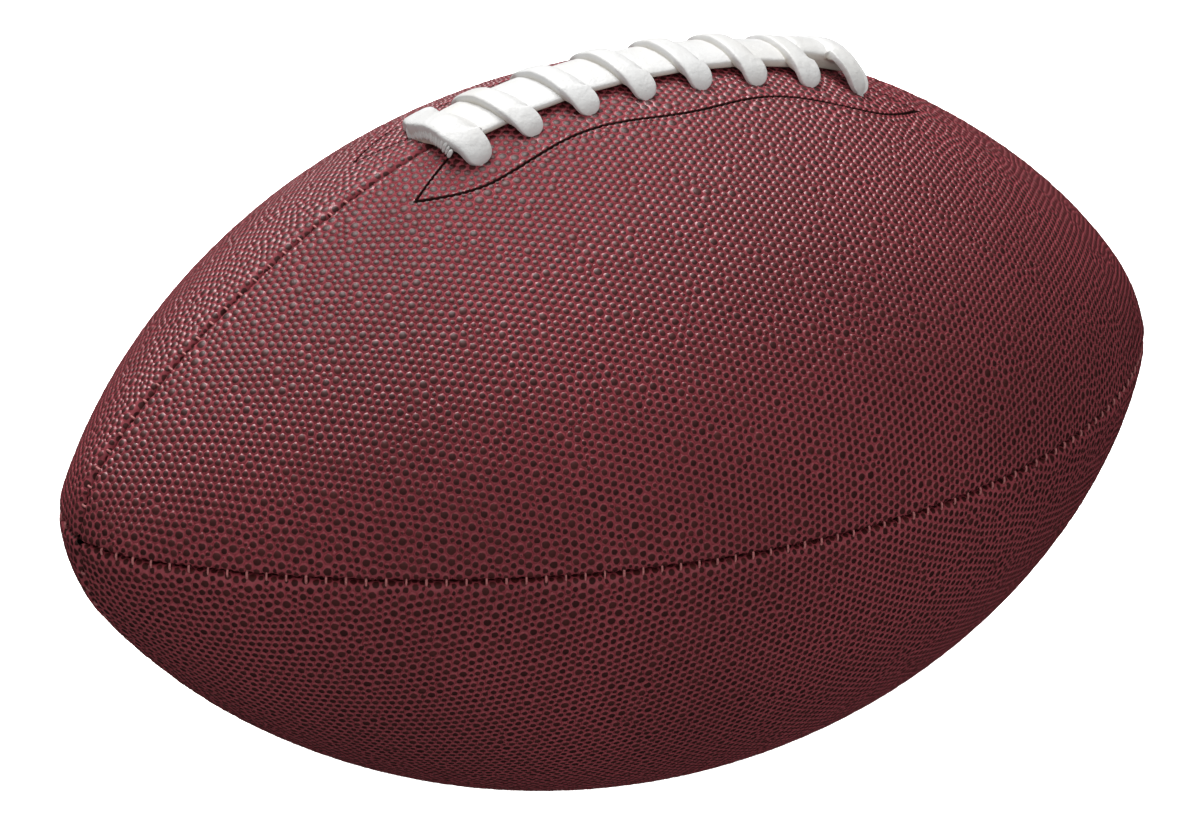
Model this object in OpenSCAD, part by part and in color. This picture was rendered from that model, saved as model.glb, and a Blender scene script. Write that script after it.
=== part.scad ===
/* [Ball] */
// Length of the ball from tip to tip
ball_len = 280; // [240:1:300]
// Radius of the belly, from the long axis to the middle of a panel
belly_r = 81.1; // [70:0.1:92]
// Rounding of the two tips, along the ball
tip_r = 28.6; // [20:0.1:36]
// How far past the long axis the centre of a lace panel's round lies, which squares the section
square_shift = 6.6; // [0:0.1:10]
// Angle round the long axis that each of the two lace panels covers
lace_panel_angle = 88; // [84:0.5:92]

/* [Cover panels] */
// Thickness of the pebbled cover
cover_t = 1.6; // [1.2:0.1:2]
// Radius of the rolled edge where a panel turns in at a seam
seam_edge_r = 2; // [2:0.1:3]
// Depth of the edge that is turned in and sewn
turn_in = 5; // [4:0.1:6]
// Gap between the two turned-in edges of a seam
seam_gap = 0.3; // [0.2:0.05:0.6]
// Radius round the long axis below which edges and walls are skived thinner
skive_r = 5; // [4:0.1:7]
// Radius of the open spot where the four panels meet at a tip
tip_spot_r = 1.2; // [0.8:0.1:1.5]

/* [Lacing bed] */
// Rise of the cover over the lacing
bed_rise = 2.8; // [1.8:0.1:3.2]
// Angle round the long axis over which the rise fades away
bed_angle = 20; // [16:0.5:24]
// Length along the ball over which the rise fades away, each way
bed_reach = 84; // [78:1:92]
// Distance of the lacing's middle from the middle of the ball
lacing_offset = 2.5; // [0:0.1:4]

/* [Lace inserts] */
// Half width of a pair of inserts, between the wide and narrow places
insert_half_w = 18.2; // [17.8:0.1:19]
// Rise and fall of the scalloped outline about that width
scallop_h = 1.2; // [0:0.1:1.5]
// Distance from one wide place of the outline to the next
scallop_pitch = 50; // [46:1:54]
// Distance from the lacing's middle to the pointed ends
insert_tip_x = 66.5; // [64:0.5:70]
// Distance of the pointed ends from the lace seam
insert_tip_y = 13; // [12:0.1:15]
// Distance from the lacing's middle to the bottom of the notch between the points
notch_x = 40; // [36:1:44]
// Width of the groove round an insert
insert_groove = 0.4; // [0.2:0.05:0.8]
// Length of the backing strip under an insert, each way from the lacing's middle
backing_x = 66; // [62:1:70]
// Angle from the lace seam at which the backing strip ends
backing_angle = 15.5; // [14:0.5:17]

/* [Lace] */
// Crossbars of the lace
crossbar_count = 8; // [6:1:8]
// Distance from one crossbar to the next
crossbar_pitch = 14.8; // [13:0.1:15.2]
// Width of a crossbar
crossbar_w = 6.4; // [5:0.1:7.5]
// Width of the first crossbar, which ends the flat run
end_crossbar_w = 8.6; // [7:0.1:9.5]
// Thickness of a crossbar
crossbar_t = 2.2; // [2:0.1:2.6]
// Thickness of the first crossbar
end_crossbar_t = 3; // [2.4:0.1:3.4]
// Inner radius of the bend from a crossbar's top into its legs
bend_r = 3.8; // [2.5:0.1:4.5]
// Distance from the seam to the inner face of a crossbar's legs
leg_y = 11.7; // [11:0.1:12.2]
// Rounding of a crossbar's long edges
crossbar_edge_r = 0.8; // [0.4:0.05:0.85]
// How much a crossbar draws in on every side before its bends, and again before its legs
draw_in = 0.05; // [0.03:0.01:0.06]
// Flutes on the outer side of the first crossbar
flute_count = 16; // [8:1:18]
// Radius of a flute
flute_r = 0.45; // [0.3:0.05:0.55]
// Width of the flat run under the crossbars
run_w = 15.6; // [12:0.1:17]
// Thickness of the flat run at its edges
run_t = 1.9; // [1.5:0.1:2.2]
// Rise of the flat run's middle over its edges
run_crown = 1.2; // [0.8:0.1:1.6]
// Rounding of the flat run's lower edges
run_edge_r = 0.6; // [0.3:0.05:0.7]
// Depth of a crossbar's ends below the cover beside the seam
leg_depth = 4.6; // [4:0.1:5]
// Clearance round the lace in its slots, and between its crossings
lace_clear = 0.15; // [0.1:0.01:0.25]

/* [Lining and bladder] */
// Thickness of a lining
lining_t = 1.2; // [0.8:0.1:1.4]
// Gap between a lining and what lies on it
layer_gap = 0.3; // [0.25:0.01:0.4]
// Distance from the middle of a seam to the edge of a lining
lining_edge = 3; // [2.8:0.1:3.5]
// Distance of the lining's end from the middle of the ball
lining_x = 122; // [110:1:126]
// Wall of the bladder
bladder_t = 1; // [0.7:0.1:1.3]
// Gap between the turned-in edges and the bladder
bladder_gap = 0.3; // [0.2:0.05:0.4]
// Rounding of the bladder's tips
bladder_tip_r = 22; // [16:0.5:26]
// Thickness of the tongue under the lacing
tongue_t = 1; // [0.7:0.1:1.1]
// Gap between the tongue and the bladder
tongue_gap = 0.2; // [0.1:0.05:0.25]
// Angle from the lace seam at which the tongue ends
tongue_angle = 11; // [8:0.5:13]
// Length of the tongue, each way from the lacing's middle
tongue_x = 64; // [58:1:66]

/* [Seam threads] */
// Thickness of the sewing thread
thread_d = 0.8; // [0.5:0.05:0.9]
// Depth of the stitch line below the cover
stitch_depth = 3.6; // [3.3:0.1:4]
// Depth of the lace seam's stitch line below the cover, without the cover's rise
lace_stitch_depth = 3; // [2.8:0.1:3.1]
// Gap between the thread and the edge that it is sewn through
thread_gap = 0.05; // [0.02:0.01:0.08]
// Distance from the middle of the ball at which the sewn part of the lace seam starts
sewn_x = 76; // [74:1:84]

/* [Valve] */
// Radius of the needle's way through the plug
needle_r = 1.05; // [0.9:0.05:1.2]
// Radius of the hole under the plug, where the needle comes out
outlet_r = 1.6; // [1.4:0.05:2]
// Radius of the plug
plug_r = 2.4; // [2.1:0.1:2.6]
// Length of the plug
plug_len = 12; // [8:0.5:16]
// Radius of the valve's neck, which ends flush with the cover
neck_r = 3.4; // [3.2:0.1:4]
// Radius of the valve's stem in the bladder
stem_r = 5; // [4.2:0.1:6]
// Radius of the valve's flange inside the bladder
valve_flange_r = 9; // [7:0.5:11]
// Thickness of that flange
valve_flange_t = 1.2; // [0.8:0.1:1.6]
// Wall under the plug's chamber
chamber_end = 1.4; // [1:0.1:2]
// Clearance round the neck, the stem and the plug
valve_clear = 0.1; // [0.05:0.01:0.2]

/* [Hidden] */
$fn = 96;

cover_colour = [0.42, 0.15, 0.17];
insert_colour = [0.45, 0.17, 0.19];
lining_colour = [0.80, 0.76, 0.66];
lace_colour = [0.95, 0.95, 0.93];
thread_colour = [0.72, 0.36, 0.38];
rubber_colour = [0.10, 0.10, 0.10];
bladder_colour = [0.16, 0.14, 0.14];

// Overrun of every cut
over = 1;

half_len = ball_len / 2;
bottom_panel_angle = 180 - lace_panel_angle;
// The bottom panels are squared so that their edges meet those of the lace panels
bottom_shift = square_shift * (1 - cos(lace_panel_angle / 2)) / (1 - cos(bottom_panel_angle / 2));

// The profile of a panel's middle is an arc of large radius that runs into a tip arc at each end
function long_arc_r(length, height, end_r) =
    ((length - end_r) ^ 2 + height ^ 2 - end_r ^ 2) / (2 * (height - end_r));
belly_arc_r = long_arc_r(half_len, belly_r, tip_r);
tip_x = half_len - tip_r;
join_angle = asin(tip_x / (belly_arc_r - tip_r));
end_angle = acos(tip_spot_r / tip_r);

// Place along the ball and radius of the profile, at the angle of its normal and at a depth
function profile(normal, depth) = abs(normal) <= join_angle
    ? [(belly_arc_r - depth) * sin(normal), (belly_arc_r - depth) * cos(normal) - belly_arc_r + belly_r]
    : [sign(normal) * tip_x + (tip_r - depth) * sin(normal), (tip_r - depth) * cos(normal)];
function normal_at(x) = asin(x / belly_arc_r);

// Radius of a panel off its middle: its round is centred past the long axis
function squared(r, off, shift) = sqrt((r + shift) ^ 2 - (shift * sin(off)) ^ 2) - shift * cos(off);
function bed(x, turn) = bed_rise * exp(-(turn / bed_angle) ^ 2) * exp(-(abs(x) / bed_reach) ^ 4);

// A panel is told by the angle at which it starts, the angle that it covers, and its shift
lace_panel = [0, lace_panel_angle, square_shift];
bottom_panel = [lace_panel_angle, bottom_panel_angle, bottom_shift];
function mid_turn(panel) = panel[0] + panel[1] / 2;
function has_bed(panel) = panel[0] == 0;

function cover_r(panel, normal, turn, depth) =
    let (place = profile(normal, depth))
    squared(place.y, turn - mid_turn(panel), panel[2]) + (has_bed(panel) ? bed(place.x, turn) : 0);
function cover_point(panel, normal, turn, depth) =
    let (r = cover_r(panel, normal, turn, depth))
    [profile(normal, depth).x, -r * sin(turn), r * cos(turn)];

// The angle that a distance from the seam's middle takes, from either edge of a panel
function edge_turn(panel, normal, depth, from_seam, side) =
    let (edge = panel[0] + (side > 0 ? panel[1] : 0))
    let (r = cover_r(panel, normal, edge, depth))
    edge - side * asin(from_seam / r);

edge_steps = [0, 45, 90];
panel_steps = 13;
belly_steps = 22;
tip_steps = 5;
normals = [
    for (i = [0 : tip_steps - 1]) -end_angle + (end_angle - join_angle) * i / tip_steps,
    for (i = [0 : belly_steps]) -join_angle + 2 * join_angle * i / belly_steps,
    for (i = [1 : tip_steps]) join_angle + (end_angle - join_angle) * i / tip_steps];

// Skiving share: walls and edges grow thinner where the panels run together at a tip
function skive(normal) = min(1, profile(normal, 0).y / skive_r);

// Turned-in edge and rolled edge, from the inside out, as distances from the seam and depths
function edge_line(wall, thin) = [
    [seam_gap / 2 + wall * thin, turn_in * thin],
    for (step = edge_steps)
        [seam_gap / 2 + seam_edge_r * thin - (seam_edge_r - wall) * thin * cos(step),
            seam_edge_r * thin - (seam_edge_r - wall) * thin * sin(step)]];

function panel_side(panel, normal, wall, side) =
    [for (place = edge_line(wall, skive(normal)))
        cover_point(panel, normal, edge_turn(panel, normal, place.y, place.x, side), place.y)];

function panel_middle(panel, normal, wall) =
    let (thin = skive(normal))
    let (depth = wall * thin)
    let (first = edge_turn(panel, normal, depth, seam_gap / 2 + seam_edge_r * thin, -1))
    let (last = edge_turn(panel, normal, depth, seam_gap / 2 + seam_edge_r * thin, 1))
    [for (i = [1 : panel_steps - 1])
        cover_point(panel, normal, first + (last - first) * i / panel_steps, depth)];

function reversed(list) = [for (i = [len(list) - 1 : -1 : 0]) list[i]];

// One skin of a panel from edge to edge, outside with no wall and inside with the wall's depth
function panel_chain(panel, normal, wall) = concat(
    panel_side(panel, normal, wall, -1),
    panel_middle(panel, normal, wall),
    reversed(panel_side(panel, normal, wall, 1)));

function panel_rings(panel) = [for (normal = normals)
    concat(panel_chain(panel, normal, 0), reversed(panel_chain(panel, normal, cover_t)))];

// Closed skin over rings of equal count, whose second half runs back under the first
module skin(rings) {
    count = len(rings[0]);
    last = (len(rings) - 1) * count;
    walls = [for (i = [0 : len(rings) - 2], j = [0 : count - 1])
        let (a = i * count + j, b = i * count + (j + 1) % count)
        each [[a, b + count, b], [a, a + count, b + count]]];
    caps = [for (j = [0 : count / 2 - 2])
        let (a = j, b = j + 1, c = count - 2 - j, d = count - 1 - j)
        each [[a, b, c], [a, c, d], [last + a, last + c, last + b], [last + a, last + d, last + c]]];
    polyhedron(points = [for (ring = rings) each ring], faces = concat(walls, caps), convexity = 6);
}

// The lowest line of the ball is the pair of rolled edges of the bottom seam
rest_turn = edge_turn(bottom_panel, 0, 0, seam_gap / 2 + seam_edge_r, 1);
ball_lift = -cover_point(bottom_panel, 0, rest_turn, 0).z;
module lifted() {
    translate([0, 0, ball_lift])
        children();
}

// Front pieces are drawn, and back pieces are their mirror image
module on_side(back) {
    mirror([0, back ? 1 : 0, 0])
        children();
}

// Height of the cover beside the lace seam, and the arc that the lace's flat run follows
function ridge(x) = cover_point(lace_panel, normal_at(x),
    edge_turn(lace_panel, normal_at(x), 0, seam_gap / 2 + seam_edge_r, -1), 0).z;
lacing_x = (crossbar_count - 1) * crossbar_pitch / 2;
ridge_drop = ridge(0) - ridge(lacing_x);
run_arc_r = (lacing_x ^ 2 + ridge_drop ^ 2) / (2 * ridge_drop);
radian = 180 / PI;
function crossbar_x(i) = lacing_offset - lacing_x + i * crossbar_pitch;
function run_turn(x) = x / run_arc_r * radian;

// Places children on the ridge with their own origin on the cover and +Z outwards
module on_ridge(x) {
    translate([0, 0, ridge(0) - run_arc_r])
        rotate([0, run_turn(x), 0])
            translate([0, 0, run_arc_r])
                children();
}

// Ring section about the X axis from one angle to another, measured from +Z towards +Y
module arc_about_x(from, to) {
    rotate([0, -90, 0])
        rotate([0, 0, from])
            rotate_extrude(angle = to - from)
                children();
}

// Ring section about the Y axis from one angle to another, measured from +Z towards +X
module arc_about_y(from, to) {
    rotate([-90, 0, 0])
        rotate([0, 0, from - 90])
            rotate_extrude(angle = to - from)
                children();
}

module rounded_bar(height, width, edge_r) {
    for (side = [-1, 1])
        for (top = [-1, 1])
            translate([top * (height / 2 - edge_r), side * (width / 2 - edge_r)])
                circle(r = edge_r);
    square([height, width - 2 * edge_r], center = true);
    square([height - 2 * edge_r, width], center = true);
}

// The flat run is crowned, and the crossbars lie over it and bend down into their legs
function crown_arc_r(width, rise) = ((width / 2) ^ 2 + rise ^ 2) / (2 * rise);
run_crown_r = crown_arc_r(run_w, run_crown);
crown_z = lace_clear + run_t + run_crown - run_crown_r;
top_r = run_crown_r + lace_clear;
bend_turn = asin((leg_y - bend_r) / (top_r - bend_r));
bend_z = crown_z + (top_r - bend_r) * cos(bend_turn);
// The slots run on past the ends of the legs, through the backing
slot_depth = 2 * leg_depth;

function bar_w(i) = i == 0 ? end_crossbar_w : crossbar_w;
function bar_t(i) = i == 0 ? end_crossbar_t : crossbar_t;

module crossbar_top(thick, width) {
    translate([0, 0, crown_z])
        arc_about_x(-bend_turn, bend_turn)
            translate([top_r + thick / 2, 0])
                rounded_bar(thick, width, crossbar_edge_r);
}

// A bend starts inside the top, and a leg inside its bend
bend_overlap = 3;
leg_overlap = 8 * draw_in;
module crossbar_leg(thick, width) {
    translate([0, bend_r - leg_y, bend_z])
        arc_about_x(-90, bend_overlap - bend_turn)
            translate([bend_r + thick / 2, 0])
                rounded_bar(thick - 2 * draw_in, width - 2 * draw_in, crossbar_edge_r);
    translate([0, -leg_y - thick / 2, -leg_depth])
        linear_extrude(height = bend_z + leg_depth + leg_overlap)
            rotate(90)
                rounded_bar(thick - 4 * draw_in, width - 4 * draw_in, crossbar_edge_r);
}

module lace_crossbar(i) {
    color(lace_colour)
        lifted()
            on_ridge(crossbar_x(i)) {
                crossbar_top(bar_t(i), bar_w(i));
                for (back = [false, true])
                    on_side(back)
                        crossbar_leg(bar_t(i), bar_w(i));
                if (i == 0)
                    flutes();
            }
}

// Upright flutes along the outer side of the first crossbar, between its bends
module flutes() {
    for (i = [0 : flute_count - 1])
        translate([-end_crossbar_w / 2, 0, crown_z])
            rotate([bend_turn * (2 * i / (flute_count - 1) - 1), 0, 0])
                translate([0, 0, top_r + crossbar_edge_r / 2])
                    cylinder(h = end_crossbar_t - 1.5 * crossbar_edge_r, r = flute_r);
}

module crossbar_slots() {
    for (i = [0 : crossbar_count - 1])
        on_ridge(crossbar_x(i))
            translate([0, -leg_y - bar_t(i) / 2, -slot_depth])
                linear_extrude(height = slot_depth + over)
                    square([bar_w(i) + 2 * lace_clear, bar_t(i) + 2 * lace_clear], center = true);
}

module run_section() {
    tall = run_t + run_crown;
    intersection() {
        translate([lace_clear + tall / 2, 0])
            rounded_bar(tall, run_w, run_edge_r);
        translate([crown_z, 0])
            circle(r = run_crown_r);
    }
}

// The flat run ends under the outer edges of the first and last crossbars
module lace_run() {
    reach = lacing_x + crossbar_w / 2;
    color(lace_colour)
        lifted()
            translate([0, 0, ridge(0) - run_arc_r])
                arc_about_y(run_turn(lacing_offset - reach), run_turn(lacing_offset + reach))
                    translate([run_arc_r, 0])
                        run_section();
}

// Outline of the front insert: scallops along the side, a curve to each point, a notch between
outline_steps = 24;
point_steps = 5;
function insert_side(x, grow) = insert_half_w + grow + scallop_h * cos(360 * x / scallop_pitch);
// A point's slanting edges move out by half of what its end moves along the ball
point_growth = 2;
// Power of the curve from the last wide place to a point
point_curve = 1.8;
function insert_point(share, grow) = [
    scallop_pitch + (insert_tip_x + point_growth * grow - scallop_pitch) * share,
    insert_tip_y + (insert_side(scallop_pitch, grow) - insert_tip_y) * (1 - share ^ point_curve)];
function insert_half(grow) = concat(
    [for (i = [0 : outline_steps / 2]) let (x = scallop_pitch * 2 * i / outline_steps)
        [x, insert_side(x, grow)]],
    [for (i = [1 : point_steps]) insert_point(i / point_steps, grow)],
    [[notch_x + point_growth * grow, 0], [notch_x + point_growth * grow, -over]]);

module insert_prism(grow) {
    half = insert_half(grow);
    translate([lacing_offset, 0, 0])
        linear_extrude(height = ball_len)
            polygon(concat([for (p = half) [p.x, -p.y]],
                [for (p = reversed(half)) if (p.x > 0) [-p.x, -p.y]]));
}

module lace_panel_piece(back) {
    color(cover_colour)
        lifted()
            on_side(back)
                difference() {
                    skin(panel_rings(lace_panel));
                    insert_prism(insert_groove / 2);
                }
}

// The insert's own skin spans the lacing, from the seam to past the widest place of its outline
insert_rings = 16;
insert_steps = 5;
insert_end = normal_at(insert_tip_x + lacing_offset + over);
insert_turn = asin((insert_half_w + scallop_h + over) / profile(insert_end, cover_t).y);
function insert_chain(normal, wall) =
    let (first = edge_turn(lace_panel, normal, wall, seam_gap / 2 + seam_edge_r, -1))
    concat(panel_side(lace_panel, normal, wall, -1),
        [for (i = [1 : insert_steps])
            cover_point(lace_panel, normal, first + (insert_turn - first) * i / insert_steps, wall)]);

module lace_insert(back) {
    color(insert_colour)
        lifted()
            on_side(back)
                difference() {
                    intersection() {
                        skin([for (i = [0 : insert_rings]) let (normal = insert_end * (2 * i / insert_rings - 1))
                            concat(insert_chain(normal, 0), reversed(insert_chain(normal, cover_t)))]);
                        insert_prism(-insert_groove / 2);
                    }
                    crossbar_slots();
                }
}

module bottom_panel_piece(back) {
    color(cover_colour)
        lifted()
            on_side(back)
                difference() {
                    skin(panel_rings(bottom_panel));
                    if (back)
                        valve_hole(neck_r);
                }
}

// Strip that fills the bed between the lining and the cover, where the crossbars pull
backing_steps = 6;
backing_rings = 20;
function backing_skin(x, depth, raised) =
    let (normal = normal_at(x))
    let (first = edge_turn(lace_panel, normal, cover_t, lining_edge, -1))
    [for (i = [0 : backing_steps]) let (turn = first + (backing_angle - first) * i / backing_steps)
        let (r = cover_r(lace_panel, normal, turn, depth) - (raised ? 0 : bed(profile(normal, depth).x, turn)))
        [profile(normal, depth).x, -r * sin(turn), r * cos(turn)]];

module lace_backing(back) {
    color(lining_colour)
        lifted()
            on_side(back)
                difference() {
                    skin([for (i = [0 : backing_rings])
                        let (x = lacing_offset + backing_x * (2 * i / backing_rings - 1))
                        concat(backing_skin(x, cover_t + layer_gap, true),
                            reversed(backing_skin(x, cover_t, false)))]);
                    crossbar_slots();
                }
}

// Long arc of the profile at a depth, as radius about a panel's own centre and place along the ball
module belly_strip(depth, wall, shift, reach) {
    intersection() {
        translate([shift + belly_r - belly_arc_r, 0])
            difference() {
                circle(r = belly_arc_r - depth);
                circle(r = belly_arc_r - depth - wall);
            }
        translate([shift, -reach])
            square([belly_r, 2 * reach]);
    }
}

module lining(panel) {
    half = panel[1] / 2;
    apex = lining_edge / sin(half);
    wide = 2 * belly_r;
    rotate([mid_turn(panel), 0, 0])
        intersection() {
            translate([0, 0, -panel[2]])
                arc_about_x(-half, half)
                    belly_strip(cover_t + layer_gap, lining_t, panel[2], lining_x);
            rotate([90, 0, 90])
                linear_extrude(height = ball_len, center = true)
                    polygon([[0, apex], [wide * tan(half), apex + wide], [-wide * tan(half), apex + wide]]);
        }
}

module panel_lining(panel, back) {
    color(lining_colour)
        lifted()
            on_side(back)
                difference() {
                    lining(panel);
                    if (back && !has_bed(panel))
                        valve_hole(neck_r);
                }
}

bladder_r = squared(belly_r - turn_in, lace_panel_angle / 2, square_shift) - bladder_gap;
bladder_half = half_len - turn_in - 3 * bladder_gap;
bladder_arc_r = long_arc_r(bladder_half, bladder_r, bladder_tip_r);
bladder_tip_x = bladder_half - bladder_tip_r;
bladder_join = asin(bladder_tip_x / (bladder_arc_r - bladder_tip_r));

// Half outline of the bladder at a depth, beside the long axis
module bladder_outline(depth) {
    join_x = (bladder_arc_r - depth) * sin(bladder_join);
    intersection() {
        translate([bladder_r - bladder_arc_r, 0])
            circle(r = bladder_arc_r - depth);
        translate([0, -join_x])
            square([bladder_r, 2 * join_x]);
    }
    for (end = [-1, 1])
        intersection() {
            translate([0, end * bladder_tip_x])
                circle(r = bladder_tip_r - depth);
            translate([0, -bladder_half])
                square([bladder_r, 2 * bladder_half]);
        }
}

module bladder() {
    color(bladder_colour)
        lifted()
            difference() {
                rotate([0, 90, 0])
                    rotate_extrude()
                        difference() {
                            bladder_outline(0);
                            bladder_outline(bladder_t);
                        }
                on_side(true)
                    valve_hole(stem_r);
            }
}

module lace_tongue() {
    color(lining_colour)
        lifted()
            arc_about_x(-tongue_angle, tongue_angle)
                intersection() {
                    translate([bladder_r - bladder_arc_r, 0])
                        difference() {
                            circle(r = bladder_arc_r + tongue_gap + tongue_t);
                            circle(r = bladder_arc_r + tongue_gap);
                        }
                    translate([0, -tongue_x - lacing_offset])
                        square([belly_r, 2 * tongue_x]);
                }
}

// The valve stands square to the middle of a bottom panel, with its own +Z outwards
chamber_bottom = belly_r - plug_len - valve_clear;
stem_bottom = chamber_bottom - chamber_end;
valve_flange_top = sqrt((bladder_r - bladder_t) ^ 2 - valve_flange_r ^ 2) - valve_clear;

module on_valve_axis() {
    rotate([mid_turn(bottom_panel), 0, 0])
        children();
}

module valve_hole(r) {
    on_valve_axis()
        translate([0, 0, stem_bottom])
            cylinder(h = belly_r + over - stem_bottom, r = r + valve_clear);
}

module valve_body() {
    color(rubber_colour)
        lifted()
            on_side(true)
                on_valve_axis()
                    difference() {
                        union() {
                            translate([0, 0, stem_bottom])
                                cylinder(h = belly_r - stem_bottom, r = neck_r);
                            translate([0, 0, stem_bottom])
                                cylinder(h = bladder_r - stem_bottom, r = stem_r);
                            translate([0, 0, valve_flange_top - valve_flange_t])
                                cylinder(h = valve_flange_t, r = valve_flange_r);
                        }
                        translate([0, 0, chamber_bottom])
                            cylinder(h = belly_r + over - chamber_bottom, r = plug_r + valve_clear);
                        translate([0, 0, stem_bottom - over])
                            cylinder(h = chamber_end + 2 * over, r = outlet_r);
                    }
}

module valve_plug() {
    color(rubber_colour)
        lifted()
            on_side(true)
                on_valve_axis()
                    translate([0, 0, chamber_bottom + valve_clear])
                        difference() {
                            cylinder(h = plug_len, r = plug_r);
                            translate([0, 0, -over])
                                cylinder(h = plug_len + 2 * over, r = needle_r);
                        }
}

// A seam is sewn with two cords, one against each of its turned-in edges
seam_rise = squared(belly_r, lace_panel_angle / 2, square_shift) - belly_r;
thread_side = seam_gap / 2 + cover_t + thread_gap + thread_d / 2;
// The cords end a little before the arcs of the tips
thread_end_share = 0.91;
thread_end = join_angle * thread_end_share;

module seam_cords(turn, depth, from, to) {
    rotate([turn, 0, 0])
        for (side = [-1, 1])
            translate([0, side * thread_side, belly_r - belly_arc_r])
                arc_about_y(from, to)
                    translate([belly_arc_r + seam_rise - depth, 0])
                        circle(d = thread_d);
}

module seam_thread(turn) {
    color(thread_colour)
        lifted()
            seam_cords(turn, stitch_depth, -thread_end, thread_end);
}

// The lace seam is sewn from the lacing to each tip, and laced between
module lace_seam_thread() {
    color(thread_colour)
        lifted() {
            seam_cords(0, lace_stitch_depth, normal_at(sewn_x), thread_end);
            seam_cords(0, lace_stitch_depth, -thread_end, -normal_at(sewn_x));
        }
}

lace_panel_piece(false);  // front_lace_panel
lace_panel_piece(true);  // back_lace_panel
bottom_panel_piece(false);  // front_bottom_panel
bottom_panel_piece(true);  // back_bottom_panel
lace_insert(false);  // front_lace_insert
lace_insert(true);  // back_lace_insert
lace_backing(false);  // front_lace_backing
lace_backing(true);  // back_lace_backing
panel_lining(lace_panel, false);  // front_lace_lining
panel_lining(lace_panel, true);  // back_lace_lining
panel_lining(bottom_panel, false);  // front_bottom_lining
panel_lining(bottom_panel, true);  // back_bottom_lining
bladder();
lace_tongue();
valve_body();
valve_plug();
lace_run();
lace_crossbar(0);  // lace_crossbar_1
lace_crossbar(1);  // lace_crossbar_2
lace_crossbar(2);  // lace_crossbar_3
lace_crossbar(3);  // lace_crossbar_4
lace_crossbar(4);  // lace_crossbar_5
lace_crossbar(5);  // lace_crossbar_6
lace_crossbar(6);  // lace_crossbar_7
lace_crossbar(7);  // lace_crossbar_8
lace_seam_thread();
seam_thread(lace_panel_angle);  // front_seam_thread
seam_thread(-lace_panel_angle);  // back_seam_thread
seam_thread(180);  // bottom_seam_thread
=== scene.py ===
"""Looks of the american football: pebbled cover, sewn seams, lace inserts, lacing and valve."""

import math

import bmesh
import bpy
import numpy as np
from bpy.props import FloatProperty, FloatVectorProperty, IntProperty, PointerProperty
from mathutils import Matrix, Vector
from mathutils.geometry import delaunay_2d_cdt
from mathutils.kdtree import KDTree


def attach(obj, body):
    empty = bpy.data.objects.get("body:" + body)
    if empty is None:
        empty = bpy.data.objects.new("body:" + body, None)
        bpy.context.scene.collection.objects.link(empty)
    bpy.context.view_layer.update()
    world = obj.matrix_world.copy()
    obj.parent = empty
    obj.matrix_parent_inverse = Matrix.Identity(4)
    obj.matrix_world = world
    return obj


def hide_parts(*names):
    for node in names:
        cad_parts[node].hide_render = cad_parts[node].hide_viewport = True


bl_info = {
    "name": "Football Builder",
    "version": (1, 0, 0),
    "blender": (4, 5, 0),
    "location": "View3D > Sidebar > Football",
    "description": "Builds the pebbled cover, seams, inserts and lacing of an american football",
    "category": "Add Mesh",
}

MM = 0.001
BODY = "root"
SIDES = "front", "back"
FLOAT = "NodeSocketFloat"
GEOMETRY = "NodeSocketGeometry"
OBJECT = "NodeSocketObject"
VARIATION = "surface_variation"

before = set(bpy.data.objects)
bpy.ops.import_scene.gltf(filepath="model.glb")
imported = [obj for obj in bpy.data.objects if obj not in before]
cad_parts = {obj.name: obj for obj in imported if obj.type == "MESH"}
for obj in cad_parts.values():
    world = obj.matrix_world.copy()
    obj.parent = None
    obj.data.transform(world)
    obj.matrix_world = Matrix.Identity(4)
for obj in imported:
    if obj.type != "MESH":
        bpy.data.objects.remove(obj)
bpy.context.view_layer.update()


def length(name, text, value):
    """A length of the panel, given here in millimetres."""
    return FloatProperty(name=name, description=text, default=value * MM, unit="LENGTH", precision=5)


def angle(name, text, value):
    """An angle of the panel, given here in degrees."""
    return FloatProperty(name=name, description=text, default=math.radians(value), unit="ROTATION")


def share(name, text, value):
    """A plain factor of the panel."""
    return FloatProperty(name=name, description=text, default=value, subtype="FACTOR")


def colour(name, text, value):
    """A colour of the panel."""
    return FloatVectorProperty(name=name, description=text, default=value, size=3, subtype="COLOR")


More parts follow.
